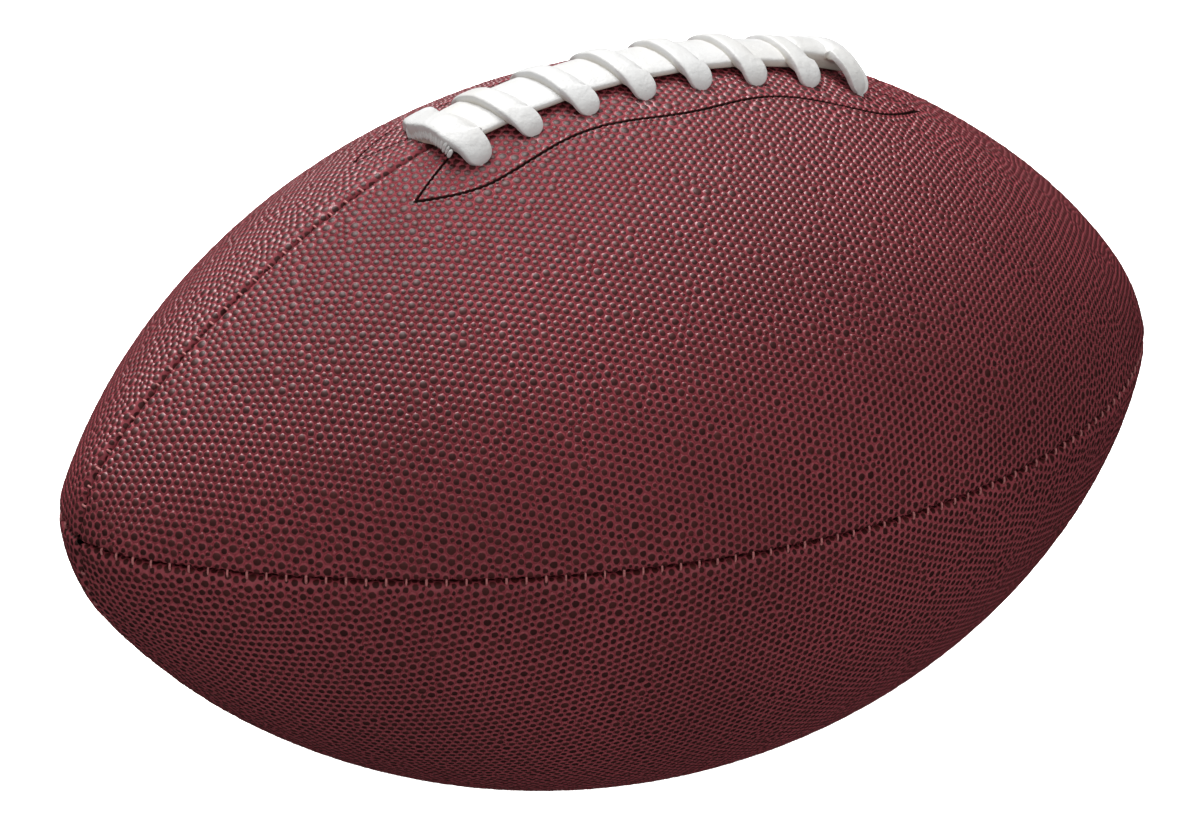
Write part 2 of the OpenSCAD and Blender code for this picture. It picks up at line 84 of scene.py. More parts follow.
class BallSizes(bpy.types.PropertyGroup):
    """Sizes of the ball, its cover panels and its lace inserts."""
    ball_len: length("Length", "Length of the ball from tip to tip", 280)
    belly_r: length("Belly radius", "Radius of the belly at the middle of a panel", 81.1)
    tip_r: length("Tip rounding", "Rounding of the two tips, along the ball", 28.6)
    square_shift: length("Squaring", "How far past the long axis a lace panel's round is centred", 6.6)
    lace_panel_angle: angle("Lace panel angle", "Angle round the long axis that a lace panel covers", 88)
    cover_t: length("Cover thickness", "Thickness of the pebbled cover", 1.6)
    seam_edge_r: length("Seam edge rounding", "Radius of the rolled edge at a seam", 2)
    turn_in: length("Turn-in", "Depth of the edge that is turned in and sewn", 5)
    seam_gap: length("Seam gap", "Gap between the two turned-in edges of a seam", 0.3)
    skive_r: length("Skiving radius", "Radius round the long axis below which edges get thinner", 5)
    tip_spot_r: length("Tip spot", "Radius of the open spot where the panels meet at a tip", 1.2)
    bed_rise: length("Bed rise", "Rise of the cover over the lacing", 2.8)
    bed_angle: angle("Bed angle", "Angle over which that rise fades away", 20)
    bed_reach: length("Bed reach", "Length over which that rise fades away, each way", 84)
    lacing_offset: length("Lacing offset", "Distance of the lacing's middle from the ball's middle", 2.5)
    insert_half_w: length("Insert half width", "Half width of a pair of inserts", 18.2)
    scallop_h: length("Scallop height", "Rise and fall of the scalloped outline", 1.2)
    scallop_pitch: length("Scallop pitch", "Distance from one wide place to the next", 50)
    insert_tip_x: length("Insert tip", "Distance from the lacing's middle to the pointed ends", 66.5)
    insert_tip_y: length("Insert tip spread", "Distance of the pointed ends from the lace seam", 13)
    notch_x: length("Notch", "Distance from the lacing's middle to the bottom of the notch", 40)
    insert_groove: length("Insert groove", "Width of the groove round an insert", 0.75)
    valve_hole_r: length("Valve hole", "Radius of the hole for the valve in the cover", 3.5)


class GrainLook(bpy.types.PropertyGroup):
    """Pebble grain of the cover."""
    pitch: length("Pebble pitch", "Distance from one pebble to the next", 1.95)
    height: length("Pebble height", "Height of a pebble over the valleys round it", 0.37)
    sink: length("Valley depth", "Depth of the valleys below the plain cover", 0.28)
    ring_share: share("Shoulder width", "Width of a pebble's shoulder as a share of its cell", 0.8)
    ring_height: share("Shoulder height", "Height of that shoulder as a share of the pebble's", 0.9)
    cap_share: share("Cap share", "Radius of the dark cap as a share of the cell's", 0.75)
    roundness: share("Roundness", "How far a pebble's shoulder is rounded off", 0.6)
    jitter: share("Jitter", "Random shift of a pebble as a share of the pitch", 0.3)
    settle: IntProperty(name="Settling", description="Times that the pebbles even out", default=5, min=0)
    seed: IntProperty(name="Seed", description="Seed of the random shifts", default=7)
    valley: colour("Valley colour", "Wine red between the pebbles", (0.30, 0.051, 0.066))
    cap: colour("Cap colour", "Dark brown on the pebbles' tops", (0.058, 0.010, 0.009))
    edge: colour("Edge colour", "Dark brown of the cut edges", (0.030, 0.012, 0.010))


class StitchLook(bpy.types.PropertyGroup):
    """Stitches that show in the seams."""
    pitch: length("Stitch pitch", "Distance from one stitch to the next", 4.3)
    thread_r: length("Thread radius", "Radius of the thread in a stitch", 0.27)
    reach: length("Stitch reach", "Half length of a stitch across the seam", 0.95)
    depth: length("Stitch depth", "Depth of a stitch's middle below the cover", 0.5)
    end_gap: length("End gap", "Length without stitches at each tip, along the cover", 6)
    sewn_x: length("Sewn from", "Distance from the ball's middle at which the lace seam is sewn", 70)
    thread: colour("Thread colour", "Pinkish red of the thread", (0.55, 0.19, 0.19))


class LaceLook(bpy.types.PropertyGroup):
    """The moulded white lace."""
    count: IntProperty(name="Crossbars", description="Crossbars of the lace", default=8, min=2)
    pitch: length("Crossbar pitch", "Distance from one crossbar to the next", 14.8)
    bar_w: length("Crossbar width", "Width of a crossbar", 6.4)
    end_bar_w: length("First crossbar width", "Width of the first crossbar", 8.6)
    bar_t: length("Crossbar thickness", "Thickness of a crossbar", 1.9)
    end_bar_t: length("First crossbar thickness", "Thickness of the first crossbar", 3)
    bend_r: length("Bend", "Inner radius of the bend from a crossbar's top into its legs", 9)
    leg_y: length("Leg distance", "Distance from the seam to the inner face of the legs", 12.8)
    foot_in: length("Foot inset", "Distance of a foot's middle inwards of its inner face", 0.4)
    leg_depth: length("Leg depth", "Depth of the legs' ends below the cover", 4.6)
    leg_slope: angle("Leg slope", "Slope at which the legs go into the cover", 62)
    spread: length("Root spread", "How far a crossbar runs out on the flat run", 2.4)
    run_w: length("Run width", "Width of the flat run", 15.6)
    run_t: length("Run thickness", "Thickness of the flat run at its edges", 1.9)
    run_crown: length("Run crown", "Rise of the flat run's middle over its edges", 1.2)
    clear: length("Clearance", "Clearance between the lace and what it lies on", 0.15)
    first_skew: share("First skew", "Sideways lean of the first crossbar", 0.03)
    skew: share("Skew", "Sideways lean of the second crossbar, which fades towards the last", 0.15)
    far_drop: length("Far drop", "How much lower the crossbars lie on the back", 1.2)
    end_lift: length("End lift", "How far the run lifts off the cover before the last crossbar", 1.8)
    flutes: IntProperty(name="Flutes", description="Flutes on the first crossbar's side", default=20, min=3)
    flute_r: length("Flute radius", "Radius of a flute", 0.5)
    flute_len: length("Flute length", "Height of a flute", 3.2)
    white: colour("Lace colour", "Soft white of the lace", (0.66, 0.66, 0.655))
    # Painted shade: this warm tint stands in for the shade in the lace's crevices and on its undersides.
    shade_cream: colour("Crevice colour", "Cream in the lace's crevices", (0.60, 0.56, 0.48))


class StudioLook(bpy.types.PropertyGroup):
    """Floor, lights and camera."""
    floor_size: length("Floor size", "Length of the floor's sides", 12000)
    floor_colour: colour("Floor colour", "Pale white of the floor", (0.8, 0.8, 0.8))
    key_power: FloatProperty(name="Key power", description="Power of the large light above", default=52)
    back_power: FloatProperty(name="Back power", description="Power of the light behind", default=2)
    fill_power: FloatProperty(name="Fill power", description="Power of the light at the front", default=24)
    floor_power: FloatProperty(name="Floor power", description="Power of the floor's own light", default=170)
    world_level: FloatProperty(name="World level", description="Brightness of the surroundings", default=0.38)
    lens: length("Lens", "Focal length of the camera, with 36 mm across the frame", 240)


SETTINGS = {
    "football_ball": BallSizes,
    "football_grain": GrainLook,
    "football_stitch": StitchLook,
    "football_lace": LaceLook,
    "football_studio": StudioLook,
}


def smoothstep(low, high, value):
    """Smooth step between two limits."""
    t = np.clip((value - low) / (high - low), 0, 1)
    return t * t * (3 - 2 * t)


def even_turns(count):
    """Angles spread evenly round a circle."""
    return np.arange(count) * 2 * math.pi / count


# Steps of the table of arc lengths, of an insert's points, slopes and sides, and of a seam and a tip
ARC_STEPS = 4001
POINT_STEPS, SLOPE_STEPS, SIDE_STEPS = 40, 60, 300
SEAM_STEPS, TIP_STEPS = 400, 40
# Steps of the fine skin along the ball, down a flange and across a panel
SKIN_STEPS, FLANGE_STEPS, PANEL_STEPS = 281, 13, 81
# Rounds that find a turn from a place in plan view, and the bend of an insert's outline at its points
PLAN_ROUNDS = 12
POINT_POWER = 1.8


class Ball:
    """Formulas of the cover, as arrays in metres and radians about the middle of the ball.

    A normal is the angle of the profile's normal from the middle. A turn runs round the long axis
    from the lacing towards the front. A back piece is the mirror image.
    """

    def __init__(self, sizes):
        self.sizes = sizes
        self.gap = sizes.seam_gap / 2
        half_len = sizes.ball_len / 2
        belly_r, tip_r = sizes.belly_r, sizes.tip_r
        self.tip_x = half_len - tip_r
        self.arc_r = (self.tip_x ** 2 + belly_r ** 2 - tip_r ** 2) / (2 * (belly_r - tip_r))
        self.join = math.asin(self.tip_x / (self.arc_r - tip_r))
        self.end = math.acos(sizes.tip_spot_r / tip_r)
        lace = sizes.lace_panel_angle
        bottom = math.pi - lace
        shift = sizes.square_shift
        bottom_shift = shift * (1 - math.cos(lace / 2)) / (1 - math.cos(bottom / 2))
        self.panels = {"lace": (0.0, lace, shift), "bottom": (lace, bottom, bottom_shift)}
        rest = self.edge_turn("bottom", 0.0, 0.0, self.gap + sizes.seam_edge_r, 1)
        self.lift = -float(self.point("bottom", 0.0, rest, 0.0)[2])
        lace_look = bpy.context.scene.football_lace
        self.foot_y = lace_look.leg_y - lace_look.foot_in
        self.feet = [sizes.lacing_offset + (i - (lace_look.count - 1) / 2) * lace_look.pitch
                     for i in range(lace_look.count)]
        self.arc_end = self.arc_r * self.join + tip_r * (self.end - self.join)
        self.arc_table = np.linspace(-self.arc_end, self.arc_end, ARC_STEPS)
        radius = self.profile(self.normal_at(self.arc_table), 0.0)[1]
        step = np.diff(self.arc_table) / ((radius[1:] + radius[:-1]) / 2)
        self.flat_table = np.concatenate([[0.0], np.cumsum(step)])
        self.flat_table -= self.flat_table[-1] / 2

    def profile(self, normal, depth):
        """Place along the ball and radius of the profile at a depth."""
        sizes = self.sizes
        long_x = (self.arc_r - depth) * np.sin(normal)
        long_r = (self.arc_r - depth) * np.cos(normal) - self.arc_r + sizes.belly_r
        tip_x = np.sign(normal) * self.tip_x + (sizes.tip_r - depth) * np.sin(normal)
        tip_r = (sizes.tip_r - depth) * np.cos(normal)
        on_long = np.abs(normal) <= self.join
        return np.where(on_long, long_x, tip_x), np.where(on_long, long_r, tip_r)

    def normal_at(self, arc):
        """Normal at an arc length from the middle."""
        long_arc = self.arc_r * self.join
        past = self.join + (np.abs(arc) - long_arc) / self.sizes.tip_r
        return np.where(np.abs(arc) <= long_arc, arc / self.arc_r, np.sign(arc) * past)

    def arc_at(self, x):
        """Arc length at a place along the ball, between the tips' arcs."""
        return self.arc_r * np.arcsin(x / self.arc_r)

    def radius(self, kind, normal, turn, depth):
        """Radius of a panel, whose round is centred past the long axis."""
        start, span, shift = self.panels[kind]
        x, r = self.profile(normal, depth)
        off = turn - start - span / 2
        squared = np.sqrt((r + shift) ** 2 - (shift * np.sin(off)) ** 2) - shift * np.cos(off)
        if kind == "bottom":
            return squared
        sizes = self.sizes
        across = np.exp(-((turn / sizes.bed_angle) ** 2))
        return squared + sizes.bed_rise * across * np.exp(-((np.abs(x) / sizes.bed_reach) ** 4))

    def point(self, kind, normal, turn, depth):
        """Point of a front panel about the middle of the ball."""
        x, _ = self.profile(normal, depth)
        r = self.radius(kind, normal, turn, depth)
        return np.stack(np.broadcast_arrays(x, -r * np.sin(turn), r * np.cos(turn)), axis=-1)

    def edge_turn(self, kind, normal, depth, from_seam, side):
        """Turn at a distance from the middle of a seam."""
        start, span, _ = self.panels[kind]
        edge = start + np.where(np.asarray(side) > 0, span, 0.0)
        return edge - side * np.arcsin(from_seam / self.radius(kind, normal, edge, depth))

    def skive(self, normal):
        """Share of the full edge that is left near a tip."""
        return np.minimum(1.0, self.profile(normal, 0.0)[1] / self.sizes.skive_r)

    def rolls(self, kind, arc):
        """Turns at which a panel's two rolled edges start, and the length of the way past them."""
        sizes = self.sizes
        normal = self.normal_at(arc)
        thin = self.skive(normal)
        roll = sizes.seam_edge_r * thin
        low = self.edge_turn(kind, normal, 0.0, self.gap + roll, -1)
        high = self.edge_turn(kind, normal, 0.0, self.gap + roll, 1)
        return low, high, roll * math.pi / 2 + sizes.turn_in * thin - roll

    def past_rolls(self, kind, arc, turn):
        """Normal, thinning, side and way past the start of a rolled edge, and the whole of that way."""
        normal = self.normal_at(arc)
        low, high, whole = self.rolls(kind, arc)
        side = np.where(turn > high, 1.0, -1.0)
        way = np.maximum(low - turn, turn - high) * self.around(arc)
        return normal, self.skive(normal), side, way, whole

    def turned_in(self, kind, normal, depth, from_seam, side, way, turn):
        """Point of a skin: at its turn, or past a rolled edge at a distance from the seam."""
        turned = self.edge_turn(kind, normal, depth, from_seam, side)
        return self.point(kind, normal, np.where(way > 0, turned, turn), depth)

    def sheet(self, kind, arc, turn):
        """Point of a panel's outer skin. Past a rolled edge the turn goes on down its flange."""
        normal, thin, side, way, _ = self.past_rolls(kind, arc, turn)
        roll = self.sizes.seam_edge_r * thin
        bend = np.clip(way / roll, 0.0, math.pi / 2)
        straight = np.maximum(way - roll * math.pi / 2, 0.0)
        from_seam = self.gap + roll * (1 - np.sin(bend))
        depth = np.where(way > 0, roll * (1 - np.cos(bend)) + straight, 0.0)
        return self.turned_in(kind, normal, depth, from_seam, side, way, turn)

    def inner_sheet(self, kind, arc, turn):
        """Point of a panel's inner skin, from its flanges' inner faces to its middle."""
        sizes = self.sizes
        normal, thin, side, way, whole = self.past_rolls(kind, arc, turn)
        down = np.clip(way / whole, 0.0, 1.0)
        wall = sizes.cover_t * thin
        depth = wall + (sizes.turn_in * thin - wall) * down
        from_seam = self.gap + sizes.seam_edge_r * thin * (1 - down) + wall * down
        return self.turned_in(kind, normal, depth, from_seam, side, way, turn)

    def flat(self, arc):
        """Place along the ball on the flat pattern, where shapes keep their angles."""
        return np.interp(arc, self.arc_table, self.flat_table)

    def arc_of_flat(self, flat):
        """Arc length of a place on the flat pattern."""
        return np.interp(flat, self.flat_table, self.arc_table)

    def around(self, arc):
        """Radius of the profile at an arc length."""
        return self.profile(self.normal_at(arc), 0.0)[1]

    def from_plan(self, x, y):
        """Arc length and turn of the outer skin's points at a place in plan view beside the lace seam."""
        arc = self.arc_at(x)
        normal = self.normal_at(arc)
        turn = np.arcsin(y / self.sizes.belly_r)
        for _ in range(PLAN_ROUNDS):
            turn = np.arcsin(np.clip(y / self.radius("lace", normal, turn, 0.0), -1, 1))
        low, _, _ = self.rolls("lace", arc)
        roll = self.sizes.seam_edge_r
        bend = np.arcsin(np.clip(1 - (y - self.gap) / roll, 0.0, 1.0))
        return arc, np.where(y < self.gap + roll, low - bend * roll / self.around(arc), turn)

    def placed(self, points, back):
        """Points of a front piece moved to the row's frame, and mirrored for a back piece."""
        placed = np.array(points, dtype=float).reshape(-1, 3)
        if back:
            placed[:, 1] *= -1
        placed[:, 2] += self.lift
        return placed

    def insert_outline(self, grow):
        """Outline of an insert in plan view, from the left notch round the points to the right one."""
        sizes = self.sizes
        pitch = sizes.scallop_pitch

        def side(x):
            return sizes.insert_half_w + grow + sizes.scallop_h * np.cos(2 * math.pi * x / pitch)

        slant = 2 * grow
        reach = sizes.insert_tip_x + slant - pitch
        shares = np.linspace(0, 1, POINT_STEPS)[1:]
        point_x = pitch + reach * shares
        point_y = sizes.insert_tip_y + (side(pitch) - sizes.insert_tip_y) * (1 - shares ** POINT_POWER)
        notch = sizes.notch_x + slant
        slope = np.linspace(1, 0, SLOPE_STEPS)[1:]
        slope_x = notch + (point_x[-1] - notch) * slope
        slope_y = self.gap + (point_y[-1] - self.gap) * slope
        long_x = np.linspace(-pitch, pitch, SIDE_STEPS)
        offset = sizes.lacing_offset
        return [
            (offset - slope_x[::-1], slope_y[::-1]),
            (offset - np.append(point_x[::-1], pitch), np.append(point_y[::-1], side(pitch))),
            (offset + long_x, side(long_x)),
            (offset + np.append(pitch, point_x), np.append(side(pitch), point_y)),
            (offset + np.append(point_x[-1], slope_x), np.append(point_y[-1], slope_y)),
        ]


def new_object(name, data):
    """Links an object with its mesh, light or camera into the scene."""
    made = bpy.data.objects.new(name, data)
    bpy.context.scene.collection.objects.link(made)
    return made


def plain_mesh(name, points, faces, smooth=True):
    """A mesh of points in metres and faces of their numbers."""
    mesh = bpy.data.meshes.new(name)
    corners = [tuple(int(i) for i in face) for face in faces]
    mesh.from_pydata([tuple(p) for p in points], [], corners, shade_flat=not smooth)
    mesh.update()
    return mesh


def line_object(name, lines):
    """An object of open lines through points."""
    points, edges = [], []
    for line in lines:
        edges += [(len(points) + i, len(points) + i + 1) for i in range(len(line) - 1)]
        points += [tuple(p) for p in line]
    mesh = bpy.data.meshes.new(name)
    mesh.from_pydata(points, edges, [])
    return new_object(name, mesh)


def grid_faces(rows, columns, closed):
    """Faces between rows of points, which close on themselves or stay open."""
    grid = np.arange(rows * columns).reshape(rows, columns)
    beside = np.roll(grid, -1, axis=1)
    faces = np.stack([grid[:-1], beside[:-1], beside[1:], grid[1:]], axis=-1)
    return (faces if closed else faces[:, :-1]).reshape(-1, 4).tolist()


def swept(name, rings):
    """Closed mesh over rings of points, with its ends closed and its faces turned outwards."""
    count = len(rings[0])
    ends = [range(count), range((len(rings) - 1) * count, len(rings) * count)]
    mesh = plain_mesh(name, np.concatenate(rings), grid_faces(len(rings), count, True) + ends)
    work = bmesh.new()
    work.from_mesh(mesh)
    bmesh.ops.recalc_face_normals(work, faces=work.faces)
    work.to_mesh(mesh)
    work.free()
    mesh.update()
    return mesh


def paint(piece, material):
    """Gives a piece one material."""
    piece.data.materials.clear()
    piece.data.materials.append(material)


def dress(piece, material, slot, *nodes):
    """Gives a finished piece its material and body, and hides the CAD nodes it stands for. Its slot is not
    used.
    """
    paint(piece, material)
    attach(piece, BODY)
    if nodes:
        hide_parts(*nodes)


class Wiring:
    """Adds nodes to a tree and links them."""

    def __init__(self, tree):
        self.tree = tree

    def add(self, kind, inputs=None, **settings):
        """Adds a node. An input is a socket to link from, or a value."""
        node = self.tree.nodes.new(kind)
        for name, value in settings.items():
            setattr(node, name, value)
        for key, value in (inputs or {}).items():
            self.put(node.inputs[key], value)
        return node

    def put(self, socket, value):
        """Links a socket or sets its value."""
        if isinstance(value, bpy.types.NodeSocket):
            self.tree.links.new(value, socket)
        else:
            socket.default_value = value

    def made(self, kind, inputs=None, output=0, **settings):
        """An output of a new node."""
        return self.add(kind, inputs, **settings).outputs[output]

    def math(self, operation, *values):
        """Result of a math node."""
        return self.made("ShaderNodeMath", dict(enumerate(values)), operation=operation)

    def vector(self, operation, *values):
        """Result of a vector math node, as a number where the operation gives one."""
        output = "Value" if operation in ("LENGTH", "DISTANCE", "DOT_PRODUCT") else "Vector"
        return self.made("ShaderNodeVectorMath", dict(enumerate(values)), output, operation=operation)

    def scaled(self, vector, factor):
        """A vector times a number."""
        inputs = {"Vector": vector, "Scale": factor}
        return self.made("ShaderNodeVectorMath", inputs, "Vector", operation="SCALE")

    def mix(self, factor, a, b):
        """A colour between two others."""
        return self.made("ShaderNodeMix", {"Factor": factor, 6: a, 7: b}, 2, data_type="RGBA")

    def ramp(self, value, low, high, to_low=0.0, to_high=1.0):
        """A value mapped smoothly from one range to another and kept within it."""
        return self.made("ShaderNodeMapRange", {
            "Value": value, "From Min": low, "From Max": high, "To Min": to_low, "To Max": to_high,
        }, interpolation_type="SMOOTHSTEP")

    def shifted(self, geometry, **inputs):
        """Geometry with its points moved, or put at a place."""
        given = {name.title(): value for name, value in inputs.items()}
        return self.made("GeometryNodeSetPosition", {"Geometry": geometry, **given})

    def extruded(self, mesh, scale, **inputs):
        """A mesh with its faces extruded one by one, and which of them are on top."""
        given = {name.title(): value for name, value in inputs.items()}
        node = self.add("GeometryNodeExtrudeMesh", {
            "Mesh": mesh, "Offset Scale": scale, "Individual": True, **given}, mode="FACES")
        return node.outputs["Mesh"], node.outputs["Top"]


def rgba(value, factor=1.0):
    """A colour made darker or lighter by a factor, with its alpha."""
    return (*(part * factor for part in value[:3]), 1.0)


def new_group(kind, name, inputs, outputs):
    """A node group with named sockets: its tree, its wiring, what it is given and where its results go."""
    tree = bpy.data.node_groups.new(name, kind)
    for socket_name, socket_type, value in inputs:
        socket = tree.interface.new_socket(socket_name, in_out="INPUT", socket_type=socket_type)
        if value is not None:
            socket.default_value = value
    for socket_name, socket_type in outputs:
        tree.interface.new_socket(socket_name, in_out="OUTPUT", socket_type=socket_type)
    given, results = tree.nodes.new("NodeGroupInput"), tree.nodes.new("NodeGroupOutput")
    return tree, Wiring(tree), given.outputs, results.inputs


def shape_tree(name, inputs):
    """A Geometry Nodes tree with its own inputs between the geometry and the seed and material."""
    inputs = [("Geometry", GEOMETRY, None), *inputs, ("Seed", "NodeSocketInt", 1),
              ("Material", "NodeSocketMaterial", None)]
    return new_group("GeometryNodeTree", name, inputs, [("Geometry", GEOMETRY)])


def end_tree(w, geometry, material, results):
    """Ends a Geometry Nodes tree: makes its instances real and gives them their material."""
    real = w.made("GeometryNodeRealizeInstances", {"Geometry": geometry})
    w.put(results[0], w.made("GeometryNodeSetMaterial", {"Geometry": real, "Material": material}))


def strung(w, spaced, shape, seed, axes, towards, scales):
    """Copies of a shape on a curve's points: its first axis along the curve, its second towards a vector."""
    align = "FunctionNodeAlignRotationToVector"
    along = w.made(align, {"Vector": w.made("GeometryNodeInputTangent")}, axis=axes[0])
    turned = w.made(align, {"Rotation": along, "Vector": towards}, axis=axes[1], pivot_axis=axes[0])
    low, high = scales
    scale = w.made("FunctionNodeRandomValue", {0: low, 1: high, "Seed": seed}, data_type="FLOAT_VECTOR")
    copy = w.made("GeometryNodeObjectInfo", {"Object": shape}, "Geometry", transform_space="ORIGINAL")
    return w.made("GeometryNodeInstanceOnPoints", {
        "Points": spaced, "Instance": copy, "Rotation": turned, "Scale": scale})


def apply_tree(piece, tree, values):
    """Runs a Geometry Nodes tree on a piece with named values and keeps the result as a plain mesh."""
    modifier = piece.modifiers.new("shape", "NODES")
    modifier.node_group = tree
    names = {item.name: item.identifier for item in tree.interface.items_tree if item.in_out == "INPUT"}
    for name, value in values.items():
        modifier[names[name]] = value
    graph = bpy.context.evaluated_depsgraph_get()
    mesh = bpy.data.meshes.new_from_object(piece.evaluated_get(graph))
    piece.modifiers.clear()
    piece.data = mesh
    return piece


# Random spread of the pebbles' heights, as a share of the full height
LIFT_SPREAD = 0.3
# Smallest arm from a pebble's middle to its shoulder, start of its dome, and reach of the apex's merging
LEAST_ARM = 0.00005
DOME_START = 0.0001
APEX_REACH = 0.00002


def pebble_tree():
    """Tree that turns a triangulated sheet into pebbles: one cell round each of its points."""
    tree, w, given, results = shape_tree("pebble_grain", [
        ("Surface", OBJECT, None), ("Height", FLOAT, 0.0004), ("Sink", FLOAT, 0.0002),
        ("Ring Share", FLOAT, 0.6), ("Ring Height", FLOAT, 0.7), ("Roundness", FLOAT, 0.6)])
    dual = w.made("GeometryNodeDualMesh", {"Mesh": given["Geometry"], "Keep Boundaries": True})
    surface = w.made("GeometryNodeObjectInfo", {"Object": given["Surface"]}, "Geometry",
                     transform_space="RELATIVE")
    near = w.made("GeometryNodeProximity", {"Geometry": surface}, "Position", target_element="FACES")
    relief = w.made("GeometryNodeInputNamedAttribute", {"Name": "relief"}, data_type="FLOAT")
    normal, place = w.made("GeometryNodeInputNormal"), w.made("GeometryNodeInputPosition")
    sink = w.math("MULTIPLY", relief, w.math("MULTIPLY", given["Sink"], -1.0))
    sunk = w.shifted(w.shifted(dual, position=near), offset=w.scaled(normal, sink))
    chance = w.made("FunctionNodeRandomValue", {"Seed": given["Seed"]}, "Value", data_type="FLOAT")
    spread = w.math("ADD", w.math("MULTIPLY", chance, LIFT_SPREAD), 1 - LIFT_SPREAD / 2)
    lift = w.math("MULTIPLY", w.math("MULTIPLY", relief, given["Height"]), spread)
    kept = w.add("GeometryNodeCaptureAttribute", {"Geometry": sunk}, domain="FACE")
    for name, kind, value in (
            ("centre", "VECTOR", place), ("out", "VECTOR", normal), ("lift", "FLOAT", lift),
            ("tone", "FLOAT", chance), ("area", "FLOAT", w.made("GeometryNodeInputMeshFaceArea"))):
        kept.capture_items.new(kind, name)
        w.put(kept.inputs[name], value)
    cell = kept.outputs
    first_lift = w.math("MULTIPLY", cell["lift"], given["Ring Height"])
    shoulder, shoulder_top = w.extruded(cell["Geometry"], first_lift)
    ring_centre = w.vector("ADD", cell["centre"], w.scaled(cell["out"], first_lift))
    arm = w.vector("SUBTRACT", place, ring_centre)
    cell_r = w.math("SQRT", w.math("DIVIDE", cell["area"], math.pi))
    rounding = w.math("DIVIDE", cell_r, w.math("MAXIMUM", w.vector("LENGTH", arm), LEAST_ARM))
    rounded = w.math("MULTIPLY", given["Roundness"], w.math("SUBTRACT", rounding, 1.0))
    share_kept = w.math("MULTIPLY", w.math("ADD", 1.0, rounded), given["Ring Share"])
    drawn = w.vector("ADD", ring_centre, w.scaled(arm, share_kept))
    ring = w.shifted(shoulder, selection=shoulder_top, position=drawn)
    dome, dome_top = w.extruded(ring, DOME_START, selection=shoulder_top)
    apex = w.vector("ADD", cell["centre"], w.scaled(cell["out"], cell["lift"]))
    peaked = w.shifted(dome, selection=dome_top, position=apex)
    stored = w.made("GeometryNodeMergeByDistance", {
        "Geometry": peaked, "Selection": dome_top, "Distance": APEX_REACH})
    for name, kind, value in (("cell_centre", "FLOAT_VECTOR", cell["centre"]),
                              ("cell_tone", "FLOAT", cell["tone"]), ("cell_radius", "FLOAT", cell_r)):
        stored = w.made("GeometryNodeStoreNamedAttribute", {"Geometry": stored, "Name": name, "Value": value},
                        data_type=kind, domain="FACE")
    smooth = w.made("GeometryNodeSetShadeSmooth", {"Geometry": stored, "Shade Smooth": True})
    end_tree(w, smooth, given["Material"], results)
    return tree


def stretch(ball, arcs, turns, spacing):
    """Points along a stretch of a panel's border, spaced evenly and without its last point."""
    way = np.hypot(np.diff(arcs), np.diff(turns) * ball.around((arcs[1:] + arcs[:-1]) / 2))
    along = np.concatenate([[0.0], np.cumsum(way)])
    count = max(1, round(along[-1] / spacing))
    stops = np.linspace(0, along[-1], count + 1)[:-1]
    return np.stack([np.interp(stops, along, arcs), np.interp(stops, along, turns)], axis=1)


def side_stretch(ball, kind, side, low_arc, high_arc, spacing):
    """Points along the end of a flange, from one arc length to another."""
    arcs = np.linspace(low_arc, high_arc, SEAM_STEPS)
    low, high, whole = ball.rolls(kind, arcs)
    turns = low - whole / ball.around(arcs) if side < 0 else high + whole / ball.around(arcs)
    return stretch(ball, arcs, turns, spacing)


def outline_stretches(ball, grow, spacing):
    """Points along an insert's outline, from the flange at its left notch to that at its right one."""
    stretches = [ball.from_plan(x, y) for x, y in ball.insert_outline(grow)]

    def flange(arc, turn):
        low, _, whole = ball.rolls("lace", arc)
        return np.array([arc, arc]), np.array([low - whole / ball.around(arc), turn])

    left = flange(stretches[0][0][0], stretches[0][1][0])
    right_arcs, right_turns = flange(stretches[-1][0][-1], stretches[-1][1][-1])
    stretches = [left, *stretches, (right_arcs, right_turns[::-1])]
    return np.concatenate([stretch(ball, arcs, turns, spacing) for arcs, turns in stretches])


def panel_border(ball, kind, spacing, cut):
    """Closed border of a panel on the flat pattern, with the insert's outline cut out of it."""
    end = ball.arc_end
    if cut:
        outline = outline_stretches(ball, ball.sizes.insert_groove / 2, spacing)
        low_side = [side_stretch(ball, kind, -1, -end, outline[0, 0], spacing), outline,
                    side_stretch(ball, kind, -1, outline[-1, 0], end, spacing)]
    else:
        low_side = [side_stretch(ball, kind, -1, -end, end, spacing)]
    low, high, whole = (float(v) for v in ball.rolls(kind, end))
    around = float(ball.around(end))
    first, last = low - whole / around, high + whole / around
    across, tip = np.linspace(first, last, TIP_STEPS), np.full(TIP_STEPS, end)
    right = stretch(ball, tip, across, spacing)
    left = stretch(ball, -tip, across[::-1], spacing)
    return np.concatenate(low_side + [right, side_stretch(ball, kind, 1, end, -end, spacing), left])


def insert_border(ball, spacing):
    """Closed border of an insert: its outline, and back along its flange at the seam."""
    outline = outline_stretches(ball, -ball.sizes.insert_groove / 2, spacing)
    seam = side_stretch(ball, "lace", -1, outline[-1, 0], outline[0, 0], spacing)
    return np.concatenate([outline, seam])


def hole_border(ball, spacing):
    """Closed border of the valve's hole in a bottom panel."""
    radius = ball.sizes.valve_hole_r
    start, span, _ = ball.panels["bottom"]
    count = round(2 * math.pi * radius / spacing) * 2
    turns = even_turns(count)
    return np.stack([radius * np.cos(turns),
                     start + span / 2 + radius * np.sin(turns) / ball.sizes.belly_r], axis=1)


def within(flat, borders):
    """Which points of the flat pattern lie inside the first border and outside the others."""
    kept = np.ones(len(flat), dtype=bool)
    for number, corners in enumerate(borders):
        inside = np.zeros(len(flat), dtype=bool)
        for (ax, ay), (bx, by) in zip(corners, np.roll(corners, -1, axis=0)):
            if by != ay:
                spans = (ay > flat[:, 1]) != (by > flat[:, 1])
                inside ^= spans & (flat[:, 0] < ax + (flat[:, 1] - ay) * (bx - ax) / (by - ay))
        kept &= inside if number == 0 else ~inside
    return kept


